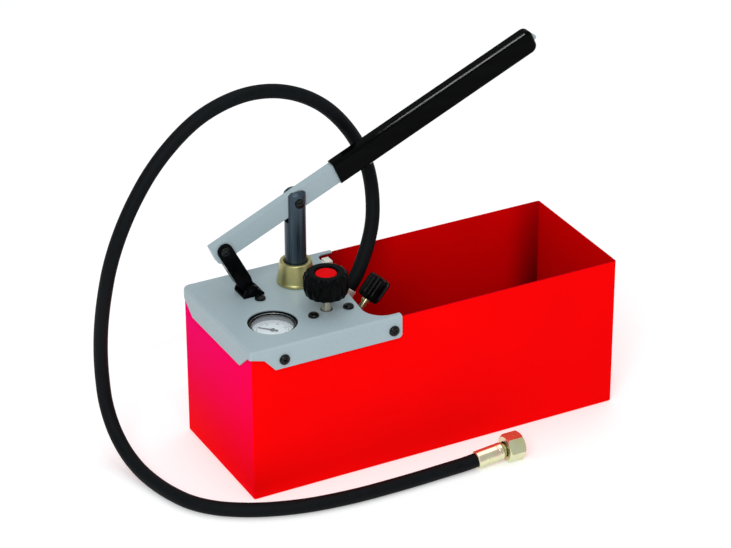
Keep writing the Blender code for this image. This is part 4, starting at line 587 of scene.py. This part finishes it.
def from_solid(name, node, edge=0.3, angle=32, segments=2):
    """A copy of a solid with its edges rounded, in place of the node."""
    shape = bmesh.new()
    shape.from_mesh(frame["nodes"][node].data)
    bmesh.ops.remove_doubles(shape, verts=shape.verts[:], dist=2e-6)
    bmesh.ops.dissolve_limit(shape, angle_limit=radians(0.4), verts=shape.verts[:], edges=shape.edges[:])
    return dress(soften(put(name, drawn(name, shape)), edge, angle, segments), node, 0, OWN_FINISH.get(node))


class Recipe(Nodes):
    """A geometry node tree with named sizes, from a mesh in to a mesh out."""

    def __init__(self, name, sizes):
        self.tree = bpy.data.node_groups.new(name, "GeometryNodeTree")
        for way in ("INPUT", "OUTPUT"):
            self.tree.interface.new_socket("Geometry", in_out=way, socket_type="NodeSocketGeometry")
        self.sizes, self.keys = sizes, {}
        for key, value in sizes.items():
            kind = "Object" if isinstance(value, bpy.types.Object) else type(value).__name__.title()
            self.keys[key] = self.tree.interface.new_socket(
                key, in_out="INPUT", socket_type="NodeSocket" + kind).identifier
        self.start = self.tree.nodes.new("NodeGroupInput")
        self.end = self.tree.nodes.new("NodeGroupOutput")

    def finish(self, geometry, material):
        real = self.node("GeometryNodeRealizeInstances", {"Geometry": geometry})
        coated = self.node("GeometryNodeSetMaterial", {"Geometry": real, "Material": material})
        self.feed(coated, self.end.inputs[0])

    def grow(self, name, seed_mesh, node, angle=35, finish=None, sizes=None, nodes=None):
        """Runs the tree on a starting mesh and keeps the result as a plain piece."""
        piece = put(name, seed_mesh)
        runner = fill(piece.modifiers.new(name, "NODES"), node_group=self.tree)
        for key, value in (sizes or self.sizes).items():
            runner[self.keys[key]] = value
        settle(piece)
        return dress(piece, node, angle, finish, nodes=nodes)


def seed_points(name, spots=((0, 0, 0),)):
    """A mesh of loose points that a node tree starts from."""
    mesh = bpy.data.meshes.new(name)
    mesh.from_pydata([[value * MM for value in spot] for spot in spots], [], [])
    return mesh


# hose

ROUTE = [
    (-46.97, 20.0, 137.24), (-43.76, 20.0, 141.07), (-37.5, 21.7, 147.8), (-23.5, 31.0, 162.5),
    (-16.5, 37.0, 170.5), (-5.0, 49.5, 187.5), (0.8, 60.5, 208.0), (-0.3, 66.5, 231.5), (-8.0, 68.0, 254.5),
    (-20.0, 67.0, 276.0), (-52.5, 65.0, 312.0), (-73.0, 64.0, 325.0), (-96.0, 64.0, 333.5),
    (-120.0, 64.0, 336.5), (-167.5, 63.0, 326.5), (-208.0, 59.5, 300.0), (-225.0, 57.5, 283.0),
    (-240.0, 55.5, 263.5), (-262.5, 54.0, 220.5), (-269.5, 55.5, 197.0), (-273.5, 58.5, 173.0),
    (-275.2, 63.5, 149.0), (-275.5, 68.6, 125.5), (-275.2, 72.1, 101.0), (-274.5, 72.85, 77.0), (-274.0, 68.3, 53.0),
    (-273.0, 55.0, 33.0), (-271.0, 35.0, 19.0), (-267.5, 12.4, 10.8), (-262.5, -11.5, 7.4),
    (-256.0, -35.5, 6.8), (-246.5, -57.5, 6.8), (-231.0, -76.2, 6.8), (-211.3, -90.2, 6.8),
    (-166.0, -108.5, 6.8), (-118.0, -116.4, 6.8), (-69.0, -118.0, 6.8), (-20.0, -117.2, 7.0),
    (9.725, -117.2, 8.081), (14.701, -117.2, 8.571),
]


def smooth_run(points, first_way, last_way, pieces=12):
    """Close points on a natural curve through the given ones."""
    steps = [after - before for before, after in zip(points, points[1:])]
    spans = [step.length for step in steps]
    slopes = [step / span for step, span in zip(steps, spans)]
    ways = [first_way, *((before * far + after * near) / (near + far) for before, after, near, far
                         in zip(slopes, slopes[1:], spans, spans[1:])), last_way]
    run = []
    for start, stop, leaving, coming, span in zip(points, points[1:], ways, ways[1:], spans):
        for t in (step / pieces for step in range(pieces)):
            run.append(start * (2 * t ** 3 - 3 * t ** 2 + 1) + leaving * span * (t ** 3 - 2 * t ** 2 + t)
                       + stop * (3 * t ** 2 - 2 * t ** 3) + coming * span * (t ** 3 - t ** 2))
    return run + [points[-1]]


def hose_tube():
    """The pressure hose: a round tube along the route, with its own map along and around it."""
    run = smooth_run([Vector(point) for point in ROUTE], LEANING, FERRULE_WAY)
    around = 32
    shape = bmesh.new()
    chart = shape.loops.layers.uv.new("around_hose")
    side = Vector((0, 1, 0))
    rings, runs = [], [0.0]
    for place, point in enumerate(run):
        way = (run[min(place + 1, len(run) - 1)] - run[max(place - 1, 0)]).normalized()
        side = (side - way * side.dot(way)).normalized()
        other = way.cross(side)
        circle = arc((0, 0), HOSE_RADIUS, 0, 360, around)[:-1]
        rings.append([shape.verts.new(point + side * x + other * y) for x, y in circle])
    for point, after in zip(run, run[1:]):
        runs.append(runs[-1] + (after - point).length)
    for place, (low, high) in enumerate(zip(rings, rings[1:])):
        for step, face in enumerate(bridge(shape, low, high)):
            marks = ((place, step), (place, step + 1), (place + 1, step + 1), (place + 1, step))
            for loop, (ring, spoke) in zip(face.loops, marks):
                loop[chart].uv = (runs[ring] * MM, spoke / around)
    shape.faces.new(rings[0][::-1])
    shape.faces.new(rings[-1])
    piece = as_object("pressure_hose", shape, merge=0.0001)
    dress(piece, "hose", 60)


# hose ends


def crimped(radius, angle):
    """Eight broad, very shallow flats that the crimping jaws leave along a ferrule."""
    depth, flats, lip = 0.09, 8, 7.4
    return radius - depth * (1 - cos(flats * angle)) if radius > lip else radius


def ferrule(name, node, origin, way, start, length, over=0.0, slot=None):
    """A crimped ferrule with a turned lip, reaching over the hose by a little where asked."""
    stop = start + length
    bore, hose_bore, groove, wide = 5.2, 6.75, 8.0, 8.2
    line = [(bore, start), (7.5, start), (8.1, start + 0.6), (wide, start + 1.4), (wide, start + length * 0.78),
            (groove, start + length * 0.80), (groove, start + length * 0.83), (wide, start + length * 0.85),
            (wide, stop + over - 0.8), (7.7, stop + over)]
    line += [(hose_bore, stop + over), (hose_bore, stop), (bore, stop)] if over else [(bore, stop)]
    piece = as_object(name, turned(eased(line, 0.3, 3, True), 128, True, crimped), stand(origin, way))
    return dress(piece, node, 40, slot=slot)


def union_thread():
    """The thread inside the union nut: a ridge that winds along its bore, made by a node tree."""
    recipe = Recipe("thread_turns", {"Turns": 7.0, "Bore": 9.75 * MM, "Length": 12.5 * MM, "Ridge": 0.6 * MM})
    size = recipe.start.outputs
    winding = recipe.node("GeometryNodeCurveSpiral", {
        "Resolution": 40, "Rotations": size["Turns"], "Start Radius": size["Bore"], "End Radius": size["Bore"],
        "Height": size["Length"]})
    section = recipe.node("GeometryNodeCurvePrimitiveCircle", {"Resolution": 4, "Radius": size["Ridge"]})
    sweep = recipe.node("GeometryNodeCurveToMesh", {
        "Curve": winding, "Profile Curve": section, "Fill Caps": True})
    recipe.finish(sweep, FINISHES["passivated_zinc"])
    piece = recipe.grow("union_thread", seed_points("thread_seed"), "union_nut", 30, nodes=())
    start = UNION + Vector((3.6, 0, 0))
    piece.data.transform(stand(start * MM, (1, 0, 0), (0, 1, 0)))


END_PIECES = [
    ferrule("end_sleeve", "end_ferrule", FERRULE_START, FERRULE_WAY, 0.0, 27.0, slot="passivated_zinc"),
    from_solid("end_stem", "end_nipple", 0.2),
    from_solid("flat_seal", "end_seal", 0.25),
    from_solid("union_hexagon", "union_nut", 0.35, 24, 3),
]
ferrule("start_sleeve", "start_ferrule", OUTLET, LEANING, 6.3, 17.5, 3.5)
hose_tube()
union_thread()


# tank and cover


def box_ring(half_x, half_y, corner, height, steps=6):
    """A rectangle with round corners, at a height."""
    ring = []
    for quarter, (x, y) in enumerate(((1, 1), (-1, 1), (-1, -1), (1, -1))):
        middle = (x * (half_x - corner), y * (half_y - corner))
        ring += [(*spot, height) for spot in arc(middle, corner, 90 * quarter, 90 * quarter + 90, steps)]
    return ring


def tank_shell():
    """The open tank: folded sheet with round corners, a rolled bottom edge and a dressed rim."""
    x, y, top, sheet, fold, inner_fold, steps = TANK_END, TANK_SIDE, TANK_TOP, 1.2, 1.6, 1.4, 4
    in_x, in_y = x - sheet, y - sheet
    levels = [(x - inset, y - inset, max(fold * 1.25 - inset, 0.5), height)
              for inset, height in arc((fold, fold), fold, 270, 180, steps)]
    levels += [(x, y, fold * 1.25, top - 0.5), (x - 0.12, y - 0.12, fold * 1.2, top - 0.14),
               (x - 0.42, y - 0.42, fold, top), (in_x + 0.4, in_y + 0.4, 1.0, top),
               (in_x + 0.1, in_y + 0.1, 0.95, top - 0.14), (in_x, in_y, 0.9, top - 0.5)]
    levels += [(in_x - inset, in_y - inset, 0.9, height)
               for inset, height in arc((inner_fold, sheet + inner_fold), inner_fold, 180, 270, steps)]
    piece = as_object("tank_shell", loft([box_ring(*level) for level in levels]), merge=0.0002)
    dress(piece, "tank", 30)
    piece.data.materials.append(INSIDE)
    skin = 0.9
    for face in piece.data.polygons:
        middle = face.center
        if abs(middle.x) < (x - skin) * MM and abs(middle.y) < (y - skin) * MM and middle.z > skin * MM:
            face.material_index = 1


def height_at(line, place):
    """The height of a line of (place, height) points."""
    for (a, low), (b, high) in zip(line, line[1:]):
        if a <= place <= b:
            return low + (high - low) * (place - a) / (b - a)
    return line[0][1] if place < line[0][0] else line[-1][1]


def cover_sheet():
    """The cover: one bent sheet. Its edge rolls over into a skirt on the left and back, and into the front flange."""
    top, left, side, tip, bend, sheet = 153.8, -191.8, 73.1, -38.6, 2.6, 1.5
    nose, back, bend_steps, round_steps = bend + 0.4, 7.0, 5, 8
    # the lower edge along the tank, as (x, height), and across its end, as (y, height)
    long_low = [(-177.5, 143.0), (-166.8, 131.0), (-42.6, 131.0), (-41.1, 131.3), (-39.8, 132.2), (-38.9, 133.5),
                (-38.6, 135.0)]
    end_low = [(-68.6, 146.2), (-66.5, 145.6), (-50.1, 131.0), (50.1, 131.0), (66.1, 142.4)]
    nose_low, back_low, back_lift = 146.3, 142.4, 0.75
    along = sorted({x for x, _ in long_low} | {-60.0 - 9.0 * n for n in range(11)})
    across = sorted({y for y, _ in end_low} | {-58.0, -25.0, 0.0, 25.0, 58.0})

    def rounded(x, y, radius, start, low, lift=0.0):
        """Columns round a corner, clockwise from an angle in degrees, without the first."""
        ways = arc((0, 0), 1.0, start, start - 90, round_steps)
        return [((x + radius * way[0], y + radius * way[1]), way, low + lift * sin(tau / 4 * step / round_steps))
                for step, way in enumerate(ways)][1:]

    columns = [((x, -side), (0.0, -1.0), height_at(long_low, x)) for x in reversed(along)]
    columns += [((left + nose, -side), (0.0, -1.0), nose_low)]
    columns += rounded(left + nose, nose - side, nose, 270, nose_low)[:-1]
    columns += [((left, y), (-1.0, 0.0), height_at(end_low, y)) for y in across]
    columns += rounded(left + back, side - back, back, 180, back_low, back_lift)
    columns += [((x, side), (0.0, 1.0), height_at(long_low, x)) for x in along]
    shape = bmesh.new()
    rows = []
    for (x, y), (nx, ny), low in columns:
        line = [*arc((bend, top - bend), bend, 90, 180, bend_steps), (0.0, low)]
        rows.append([shape.verts.new((x - nx * inset, y - ny * inset, height)) for inset, height in line])
    for first, second in zip(rows, rows[1:]):
        bridge(shape, first, second, False)
    tip_side = 66.9
    cut = ([(tip, -tip_side)] + arc((-46.2, -46.9), 20.0, 270, 180, 14)
           + arc((-48.4, 59.9), 7.0, 180, 90, 8) + [(tip, tip_side)])
    loops = [[row[0] for row in rows] + [shape.verts.new((x, y, top)) for x, y in reversed(cut)]]
    for middle, radius, steps in ((GAUGE, 23.0, 72), (SHUTOFF, 5.8, 32), (GLAND, 12.9, 40)):
        loops.append([shape.verts.new((x, y, top)) for x, y in arc(middle, radius, 0, 360, steps)[:-1]])
    cap(shape, loops)
    bmesh.ops.recalc_face_normals(shape, faces=shape.faces[:])
    flat = max(shape.faces, key=lambda face: face.calc_area() if abs(face.normal.z) > 0.9 else 0)
    if flat.normal.z < 0:
        bmesh.ops.reverse_faces(shape, faces=shape.faces[:])
    piece = as_object("cover_sheet", shape, merge=0.0002, turn_out=False)
    fill(piece.modifiers.new("sheet", "SOLIDIFY"), thickness=sheet * MM, offset=-1.0, use_even_offset=True)
    settle(piece)
    soften(piece, 0.22, 50, 2)
    dress(piece, "cover_plate", 0)


tank_shell()
cover_sheet()
from_solid("hose_edge_clip", "edge_clip", 0.3)


# screws


def pan_head():
    """One pan head screw along Z with its cross recess, head down to Z = 0."""
    profile = [(0, -7.0), (2.1, -7.0), (2.4, -6.6), (2.4, 0.0), (5.1, 0.0), (5.1, 0.9), (4.75, 1.9), (3.9, 2.6),
               (2.6, 2.92), (1.2, 2.99), (0, 3.0)]
    head = as_object("screw_pattern", turned(eased(profile, 0.15, 2), 40))
    corners = ((-1, -1), (1, -1), (1, 1), (-1, 1))
    # half length, half width and height of a recess blade, at its foot and its top
    blade = ((1.5, 0.38, 1.3), (2.9, 0.62, 3.3))
    cutters = []
    for turn in (0.0, tau / 4):
        shape = loft([[(x * long, y * wide, height) for x, y in corners] for long, wide, height in blade])
        cutters.append(as_object("recess_blade", shape, Matrix.Rotation(turn, 4, "Z")))
        fill(head.modifiers.new("recess", "BOOLEAN"), operation="DIFFERENCE", solver="EXACT", object=cutters[-1])
    settle(head)
    for cutter in cutters:
        bpy.data.objects.remove(cutter)
    return head


def screws():
    """Eight pan head screws: four down through the cover, four through its flanges."""
    head = pan_head()
    recipe = Recipe("screw_places", {"Screw": head, "Size": 1.0})
    start = recipe.start.outputs
    lean = recipe.node("GeometryNodeInputNamedAttribute", {"Name": "lean"}, data_type="FLOAT_VECTOR")
    turn = recipe.node("FunctionNodeEulerToRotation", {"Euler": lean})
    pattern = recipe.node("GeometryNodeObjectInfo", {"Object": start["Screw"]}, "Geometry")
    spread = recipe.node("GeometryNodeInstanceOnPoints", {
        "Points": start["Geometry"], "Instance": pattern,
        "Rotation": turn, "Scale": start["Size"]})
    recipe.finish(spread, OILED)
    places = [((-139.0, 15.0, 154.1), (0, 0, 0.37)), ((-110.52, -36.9, 154.1), (0, 0, 1.2)),
              ((-75.0, -36.9, 154.1), (0, 0, 0.8)), ((-70.8, 37.4, 154.1), (0, 0, 0.1)),
              ((-158.0, -73.1, 139.9), (tau / 4, 0.4, 0)), ((-47.2, -73.1, 139.9), (tau / 4, 0.9, 0)),
              ((-158.0, 73.1, 139.9), (-tau / 4, 0.2, 0)), ((-47.2, 73.1, 139.9), (-tau / 4, 1.1, 0))]
    seed = seed_points("screw_places", [spot for spot, _ in places])
    leans = seed.attributes.new("lean", "FLOAT_VECTOR", "POINT")
    for item, (_, lean_by) in zip(leans.data, places):
        item.vector = lean_by
    nodes = [f"{kind}_screw_{n}" for kind in ("body", "flange") for n in range(1, 5)]
    recipe.grow("pan_head_screws", seed, nodes[0], 35, OILED, nodes=nodes)
    bpy.data.objects.remove(head)


screws()


# knobs


def fluted_knob(name, node, profile, steps, sizes, origin, way, finish):
    """A moulded knob: a turned blank whose side a node tree presses flutes into, fading by height."""
    recipe = Recipe(name + "_flutes", sizes)
    size, maths, times = recipe.start.outputs, recipe.sum, recipe.times
    x, y, z = recipe.split(recipe.node("GeometryNodeInputPosition"))
    out = recipe.reach(x, y)
    # how far a point is from the middle of its flute: as a share of one flute, then along the side
    count = maths("ADD", times(maths("DIVIDE", maths("ARCTAN2", y, x), tau), size["Flutes"]), 100.5)
    share = maths("SUBTRACT", maths("FRACT", count), 0.5)
    aside = times(maths("DIVIDE", share, size["Flutes"]), times(size["Reach"], tau))
    hollow = maths("SUBTRACT", times(size["Flute Radius"], size["Flute Radius"]), times(aside, aside))
    solid = maths("SUBTRACT", size["Flute Radius"], size["Flute Depth"])
    depth = maths("MAXIMUM", maths("SUBTRACT", maths("SQRT", maths("MAXIMUM", hollow, 0.0)), solid), 0.0)
    side = recipe.span(maths("DIVIDE", out, size["Reach"]), 0.80, 0.90)
    tall = recipe.span(z, size["Fade From"], size["Fade To"], size["Least"])
    press = times(depth, times(side, tall))
    keep = maths("SUBTRACT", 1.0, maths("DIVIDE", press, maths("MAXIMUM", out, 1e-5)))
    moved = recipe.combine(times(x, keep), times(y, keep), z)
    shifted = recipe.node("GeometryNodeSetPosition", {"Geometry": size["Geometry"], "Position": moved})
    recipe.finish(shifted, finish)
    blank = as_object(name + "_blank", turned(sliced(profile), steps, True))
    mesh = blank.data
    bpy.data.objects.remove(blank)
    recipe.grow(name, mesh, node, 32, finish).data.transform(stand(origin * MM, way))


def sliced(profile, tallest=1.6):
    """The same profile with long straight runs cut into short ones."""
    line = []
    for first, last in zip(map(Vector, profile), map(Vector, profile[1:] + profile[:1])):
        parts = max(1, int((last - first).length / tallest))
        line += [first.lerp(last, step / parts) for step in range(parts)]
    return line


BIG_KNOB = [(4.9, 170.0), (19.0, 170.0), (21.2, 176.6), (21.2, 186.0), (20.0, 190.0), (17.6, 191.7), (17.0, 192.0),
            (11.4, 192.0), (10.7, 191.4), (10.7, 189.4), (4.9, 189.4)]
BIG_FLUTES = {"Flutes": 16.0, "Flute Radius": 3.4 * MM, "Flute Depth": 1.5 * MM, "Reach": 21.2 * MM,
              "Fade From": 171.0 * MM, "Fade To": 184.0 * MM, "Least": 0.5}
SMALL_KNOB = [(3.2, 31.6), (9.6, 31.6), (10.6, 33.4), (11.2, 36.4), (11.2, 51.6), (10.4, 54.0), (9.2, 54.6),
              (8.2, 54.6), (7.8, 54.0), (3.2, 54.0)]
SMALL_FLUTES = {"Flutes": 9.0, "Flute Radius": 2.9 * MM, "Flute Depth": 2.3 * MM, "Reach": 11.2 * MM,
                "Fade From": 31.6 * MM, "Fade To": 40.0 * MM, "Least": 0.8}
fluted_knob("shutoff_handwheel", "shutoff_knob", eased(BIG_KNOB, 0.45, 3, True), 256, BIG_FLUTES, SHUTOFF, (0, 0, 1),
            FINISHES["black_plastic"])
fluted_knob("drain_handwheel", "drain_knob", eased(SMALL_KNOB, 0.4, 3, True), 192, SMALL_FLUTES, DRAIN, LEANING,
            POLISHED)
lathe("handwheel_cap", "shutoff_cap", SHUTOFF, [
    (0, 189.5), (9.8, 189.5), (9.8, 190.4), (9.4, 190.9), (6.0, 191.0), (0, 191.05)], 0.3, angle=30)


# gland, plunger and lever


def lever_flat():
    """The flat bar of the lever with its slot for the plunger pin, and the tang inside the grip."""
    outline = ([(130.5, -10.0), (130.5, 10.0)] + arc((-9.3, 8.8), 1.2, 90, 180, 5)
               + arc((-7.3, -6.8), 3.2, 180, 270, 6))
    slot = arc((80.2, 0), 4.8, 90, 270, 12) + arc((84.0, 0), 4.8, 270, 450, 12)
    tang = ([(129.0, -7.5), (349.0, -7.5), (349.0, -2.4)] + arc((352.3, 0), 2.4, 270, 450, 8)
            + [(349.0, 2.4), (349.0, 7.5), (129.0, 7.5)])
    shape = joined(slab(outline, -4.0, 4.0, (slot,)), slab(tang, -2.5, 2.5))
    piece = as_object("lever_flat", shape, axes(LEVER_ALONG, LEVER_UP, Vector((0, -1, 0)), LEVER_PIN), 0.0002)
    soften(piece, 0.45, 40, 3)
    dress(piece, "lever_bar", 0)


def grip_sleeve():
    """The dipped sleeve: a flat bar shape with rolled edges and a round far end, cut square at the near end."""
    start, stop, tall, thick, edge, corner = 125.5, 351.5, 24.4, 12.4, 3.4, 7.0
    # degrees round the edge's rounding; the flat from 32 to 66 carries the long highlight
    swings = (0, 10, 20, 31, 32, 66, 67, 75, 83, 90)
    rings = []
    for half, swing_out in [(-1, swing) for swing in swings] + [(1, swing) for swing in reversed(swings)]:
        angle = radians(swing_out)
        inset = edge * (1 - sin(angle))
        depth = half * (thick / 2 - edge + edge * cos(angle))
        radius = max(corner - inset, 0.6)
        x, z = stop - inset - radius, tall / 2 - inset
        line = ([(start, -z)] + arc((x, radius - z), radius, -90, 0, 10) + arc((x, z - radius), radius, 0, 90, 10)
                + [(start, z)])
        rings.append([(across, depth, height) for across, height in line])
    piece = as_object("lever_grip", loft(rings), axes(LEVER_ALONG, Vector((0, 1, 0)), LEVER_UP, LEVER_PIN), 0.0005)
    dress(piece, "grip", 42)
    piece.modifiers.new("flat_faces_stay_flat", "WEIGHTED_NORMAL").keep_sharp = True
    settle(piece)


lathe("gland_cone", "gland_nut", GLAND, [
    (10.3, 140.1), (12.6, 140.1), (12.6, 154.1), (18.0, 154.1), (18.0, 156.3), (17.3, 157.7), (15.0, 175.3),
    (14.2, 176.1), (11.9, 176.1), (10.3, 173.7)], 0.35, closed=True, slot="brass")
lever_flat()
grip_sleeve()
for row in (("plunger_rod", "piston_rod", 0.35, 30), ("plunger_pin", "rod_pin", 0.5, 30, 3),
            ("plunger_pin_clip", "rod_pin_clip", 0.15), ("link_channel", "link", 0.5, 30, 3),
            ("link_foot", "link_bracket", 0.35, 30), ("link_foot_pin", "bracket_pin", 0.3),
            ("pump_casting", "pump_body", 0.9, 30, 3), ("shutoff_stem", "shutoff_spindle", 0.2),
            ("shutoff_gland", "shutoff_packing_nut", 0.3), ("drain_stem", "drain_spindle", 0.2),
            ("drain_neck", "drain_bonnet", 0.3), ("outlet_nipple", "hose_nipple", 0.3),
            ("cylinder_tube", "pump_cylinder", 0.4), ("lever_tail_pin", "lever_pin", 0.5, 30, 3),
            ("lever_tail_clip", "lever_pin_clip", 0.15)):
    from_solid(*row)


# gauge

lathe("gauge_cup", "gauge_case", GAUGE, [
    (0, 124.6), (22.8, 124.6), (22.8, 152.6), (22.4, 152.6), (20.9, 151.5), (20.9, 127.0), (0, 127.0)], 0.15,
    slot="black_steel")
lathe("gauge_rim", "gauge_bezel", GAUGE, [
    (19.4, 150.5), (20.7, 150.5), (20.7, 151.4), (20.3, 151.3), (19.4, 150.8)], 0.08, 2, True, 50, slot="black_steel")
lathe("gauge_ring", "gauge_spacer", GAUGE, [
    (19.4, 145.1), (20.7, 145.1), (20.7, 148.5), (19.4, 148.5)], 0.2, 3, True, 50, finish=RING)
lathe("gauge_glass", "gauge_lens", GAUGE, [(0, 148.8), (20.7, 148.8), (20.7, 150.2), (0, 150.2)], 0.25)
lathe("window_edge", "gauge_bezel", GAUGE, [
    (20.35, 151.2), (20.75, 151.2), (20.75, 151.6), (20.35, 151.6)], 0.15, 3, True, 50, slot="bright_steel", nodes=())


def dial():
    """The dial plate with its scale: ticks set round by a node tree, and plain numbers."""
    lathe("dial_plate", "gauge_dial", GAUGE, [(0, 144.0), (20.7, 144.0), (20.7, 144.8), (0, 144.8)], 0.1, 2, angle=30)
    first, sweep = radians(SCALE_START), radians(SCALE_SWEEP)
    tick_sets = {name: {
        "Ticks": count, "First": first, "Step": -sweep / (count - 1), "Reach": reach * MM, "Length": length * MM,
        "Width": width * MM, "Height": PRINT_HEIGHT * MM} for name, count, length, width, reach in (
            ("fine_ticks", 61, 1.1, 0.12, 17.0), ("main_ticks", 7, 2.2, 0.3, 16.5))}
    recipe = Recipe("dial_ticks", tick_sets["fine_ticks"])
    size = recipe.start.outputs
    line = recipe.node("GeometryNodeMeshLine", {"Count": size["Ticks"]}, mode="OFFSET", count_mode="TOTAL")
    count = recipe.node("GeometryNodeInputIndex")
    angle = recipe.sum("ADD", size["First"], recipe.times(count, size["Step"]))
    place = recipe.combine(
        recipe.sum("ADD", GAUGE.x * MM, recipe.times(recipe.sum("COSINE", angle), size["Reach"])),
        recipe.sum("ADD", GAUGE.y * MM, recipe.times(recipe.sum("SINE", angle), size["Reach"])),
        size["Height"])
    ring = recipe.node("GeometryNodeSetPosition", {"Geometry": line, "Position": place})
    bar = recipe.node("GeometryNodeMeshCube", {"Size": recipe.combine(size["Length"], size["Width"], 0.0001)})
    turn = recipe.node("FunctionNodeEulerToRotation", {"Euler": recipe.combine(0.0, 0.0, angle)})
    spread = recipe.node("GeometryNodeInstanceOnPoints", {
        "Points": ring, "Instance": bar, "Rotation": turn})
    recipe.finish(spread, PRINT)
    for name, sizes in tick_sets.items():
        recipe.grow(name, seed_points(name), "gauge_dial", 30, PRINT, sizes, ())
    numbers = bmesh.new()
    number_reach, last = 12.4, 6
    upright = Matrix.Rotation(radians(SCALE_START - SCALE_SWEEP / 2 - 90), 4, "Z")
    for place in range(last + 1):
        holder = put("dial_number", fill(
            bpy.data.curves.new("dial_number", "FONT"), body=str(place * 10), size=2.5, extrude=0.04,
            align_x="CENTER", align_y="CENTER"))
        mesh = evaluated(holder)
        angle = first - sweep * place / last
        spot = GAUGE + Vector((number_reach * cos(angle), number_reach * sin(angle), PRINT_HEIGHT))
        mesh.transform(Matrix.Translation(spot) @ upright)
        numbers.from_mesh(mesh)
        bpy.data.objects.remove(holder)
        bpy.data.meshes.remove(mesh)
    dress(as_object("dial_numbers", numbers, merge=0.0001), "gauge_dial", 30, PRINT, nodes=())


def needle():
    """The pointer: a long tapered blade with a counterweight tail and a domed hub."""
    outline = [(14.0, -0.28), (14.3, 0.0), (14.0, 0.28), (2.0, 0.85), (-2.0, 0.7), (-5.0, 1.5), (-5.0, -1.5),
               (-2.0, -0.7), (2.0, -0.85)]
    blade = loft([[(x, y, level) for x, y in outline] for level in (145.5, 145.9)])
    hub = turned(eased([(0, 145.0), (1.0, 145.0), (1.0, 145.4), (2.4, 145.4), (2.4, 146.1), (1.2, 146.5), (0, 146.5)],
                       0.25, 3), 40)
    place = Matrix.Translation(GAUGE) @ Matrix.Rotation(radians(SCALE_START), 4, "Z")
    dress(as_object("dial_pointer", joined(blade, hub), place, 0.0003), "gauge_needle", 35, PRINT)


dial()
needle()


# floor, light and the last lines


def strip_spot():
    """Where a strip light has to hang for the flat on the grip's top edge to carry it to the camera."""
    on_grip, tilt, far = LEVER_PIN + LEVER_ALONG * 285.0 + LEVER_UP * 10.0, radians(49.0), 2.8
    spot = on_grip * MM
    facing = LEVER_UP * sin(tilt) - Vector((0, 1, 0)) * cos(tilt)
    look = (bpy.context.scene.camera.matrix_world.translation - spot).normalized()
    return spot + (facing * 2 * facing.dot(look) - look) * far


def studio():
    """A plain pale floor, an even sky and three soft lamps."""
    paint = Finish("studio_floor", roughness=1.0, specular=0.0, emission_color=(1, 1, 1, 1),
                   emission_strength=0.28)
    paint.feed(paint.ramp(paint.cloud(0.6, 2.0), (0.3, 229.833, 230.731, 231.115), (0.7, 231.115, 232.006, 232.387)),
               paint.shader.inputs["Base Color"])
    half, level = 9.0, -0.0002
    mesh = bpy.data.meshes.new("studio_floor")
    mesh.from_pydata([(x * half, y * half, level) for x, y in ((-1, -1), (1, -1), (1, 1), (-1, 1))], [],
                     [(0, 1, 2, 3)])
    mesh.materials.append(paint.material)
    floor = put("studio_floor", mesh)
    world = bpy.data.worlds.new("studio")
    world.use_nodes = True
    sky = world.node_tree.nodes["Background"].inputs
    sky["Color"].default_value = (0.985, 0.99, 1.0, 1.0)
    sky["Strength"].default_value = 0.55
    bpy.context.scene.world = world
    bpy.context.scene.view_settings.view_transform = "Standard"
    for name, spot, aim, size, power, tone in (
            ("key", (-1.75, -2.2, 2.3), (-0.05, 0, 0.1), (1.6, 1.6), 56.5, (1.0, 0.995, 0.985)),
            ("top", (0.5, 0.4, 3.0), (0, 0, 0.1), (2.2, 2.2), 22.0, (1.0, 1.0, 1.0)),
            ("strip", strip_spot(), (0.06, 0.03, 0.3), (0.36, 0.045), 6.0, (1.0, 1.0, 1.0))):
        lamp = fill(bpy.data.lights.new(name, "AREA"), shape="RECTANGLE", size=size[0], size_y=size[1], energy=power,
                    color=tone)
        put(name, lamp).matrix_world = stand(Vector(spot), Vector(spot) - Vector(aim))


studio()
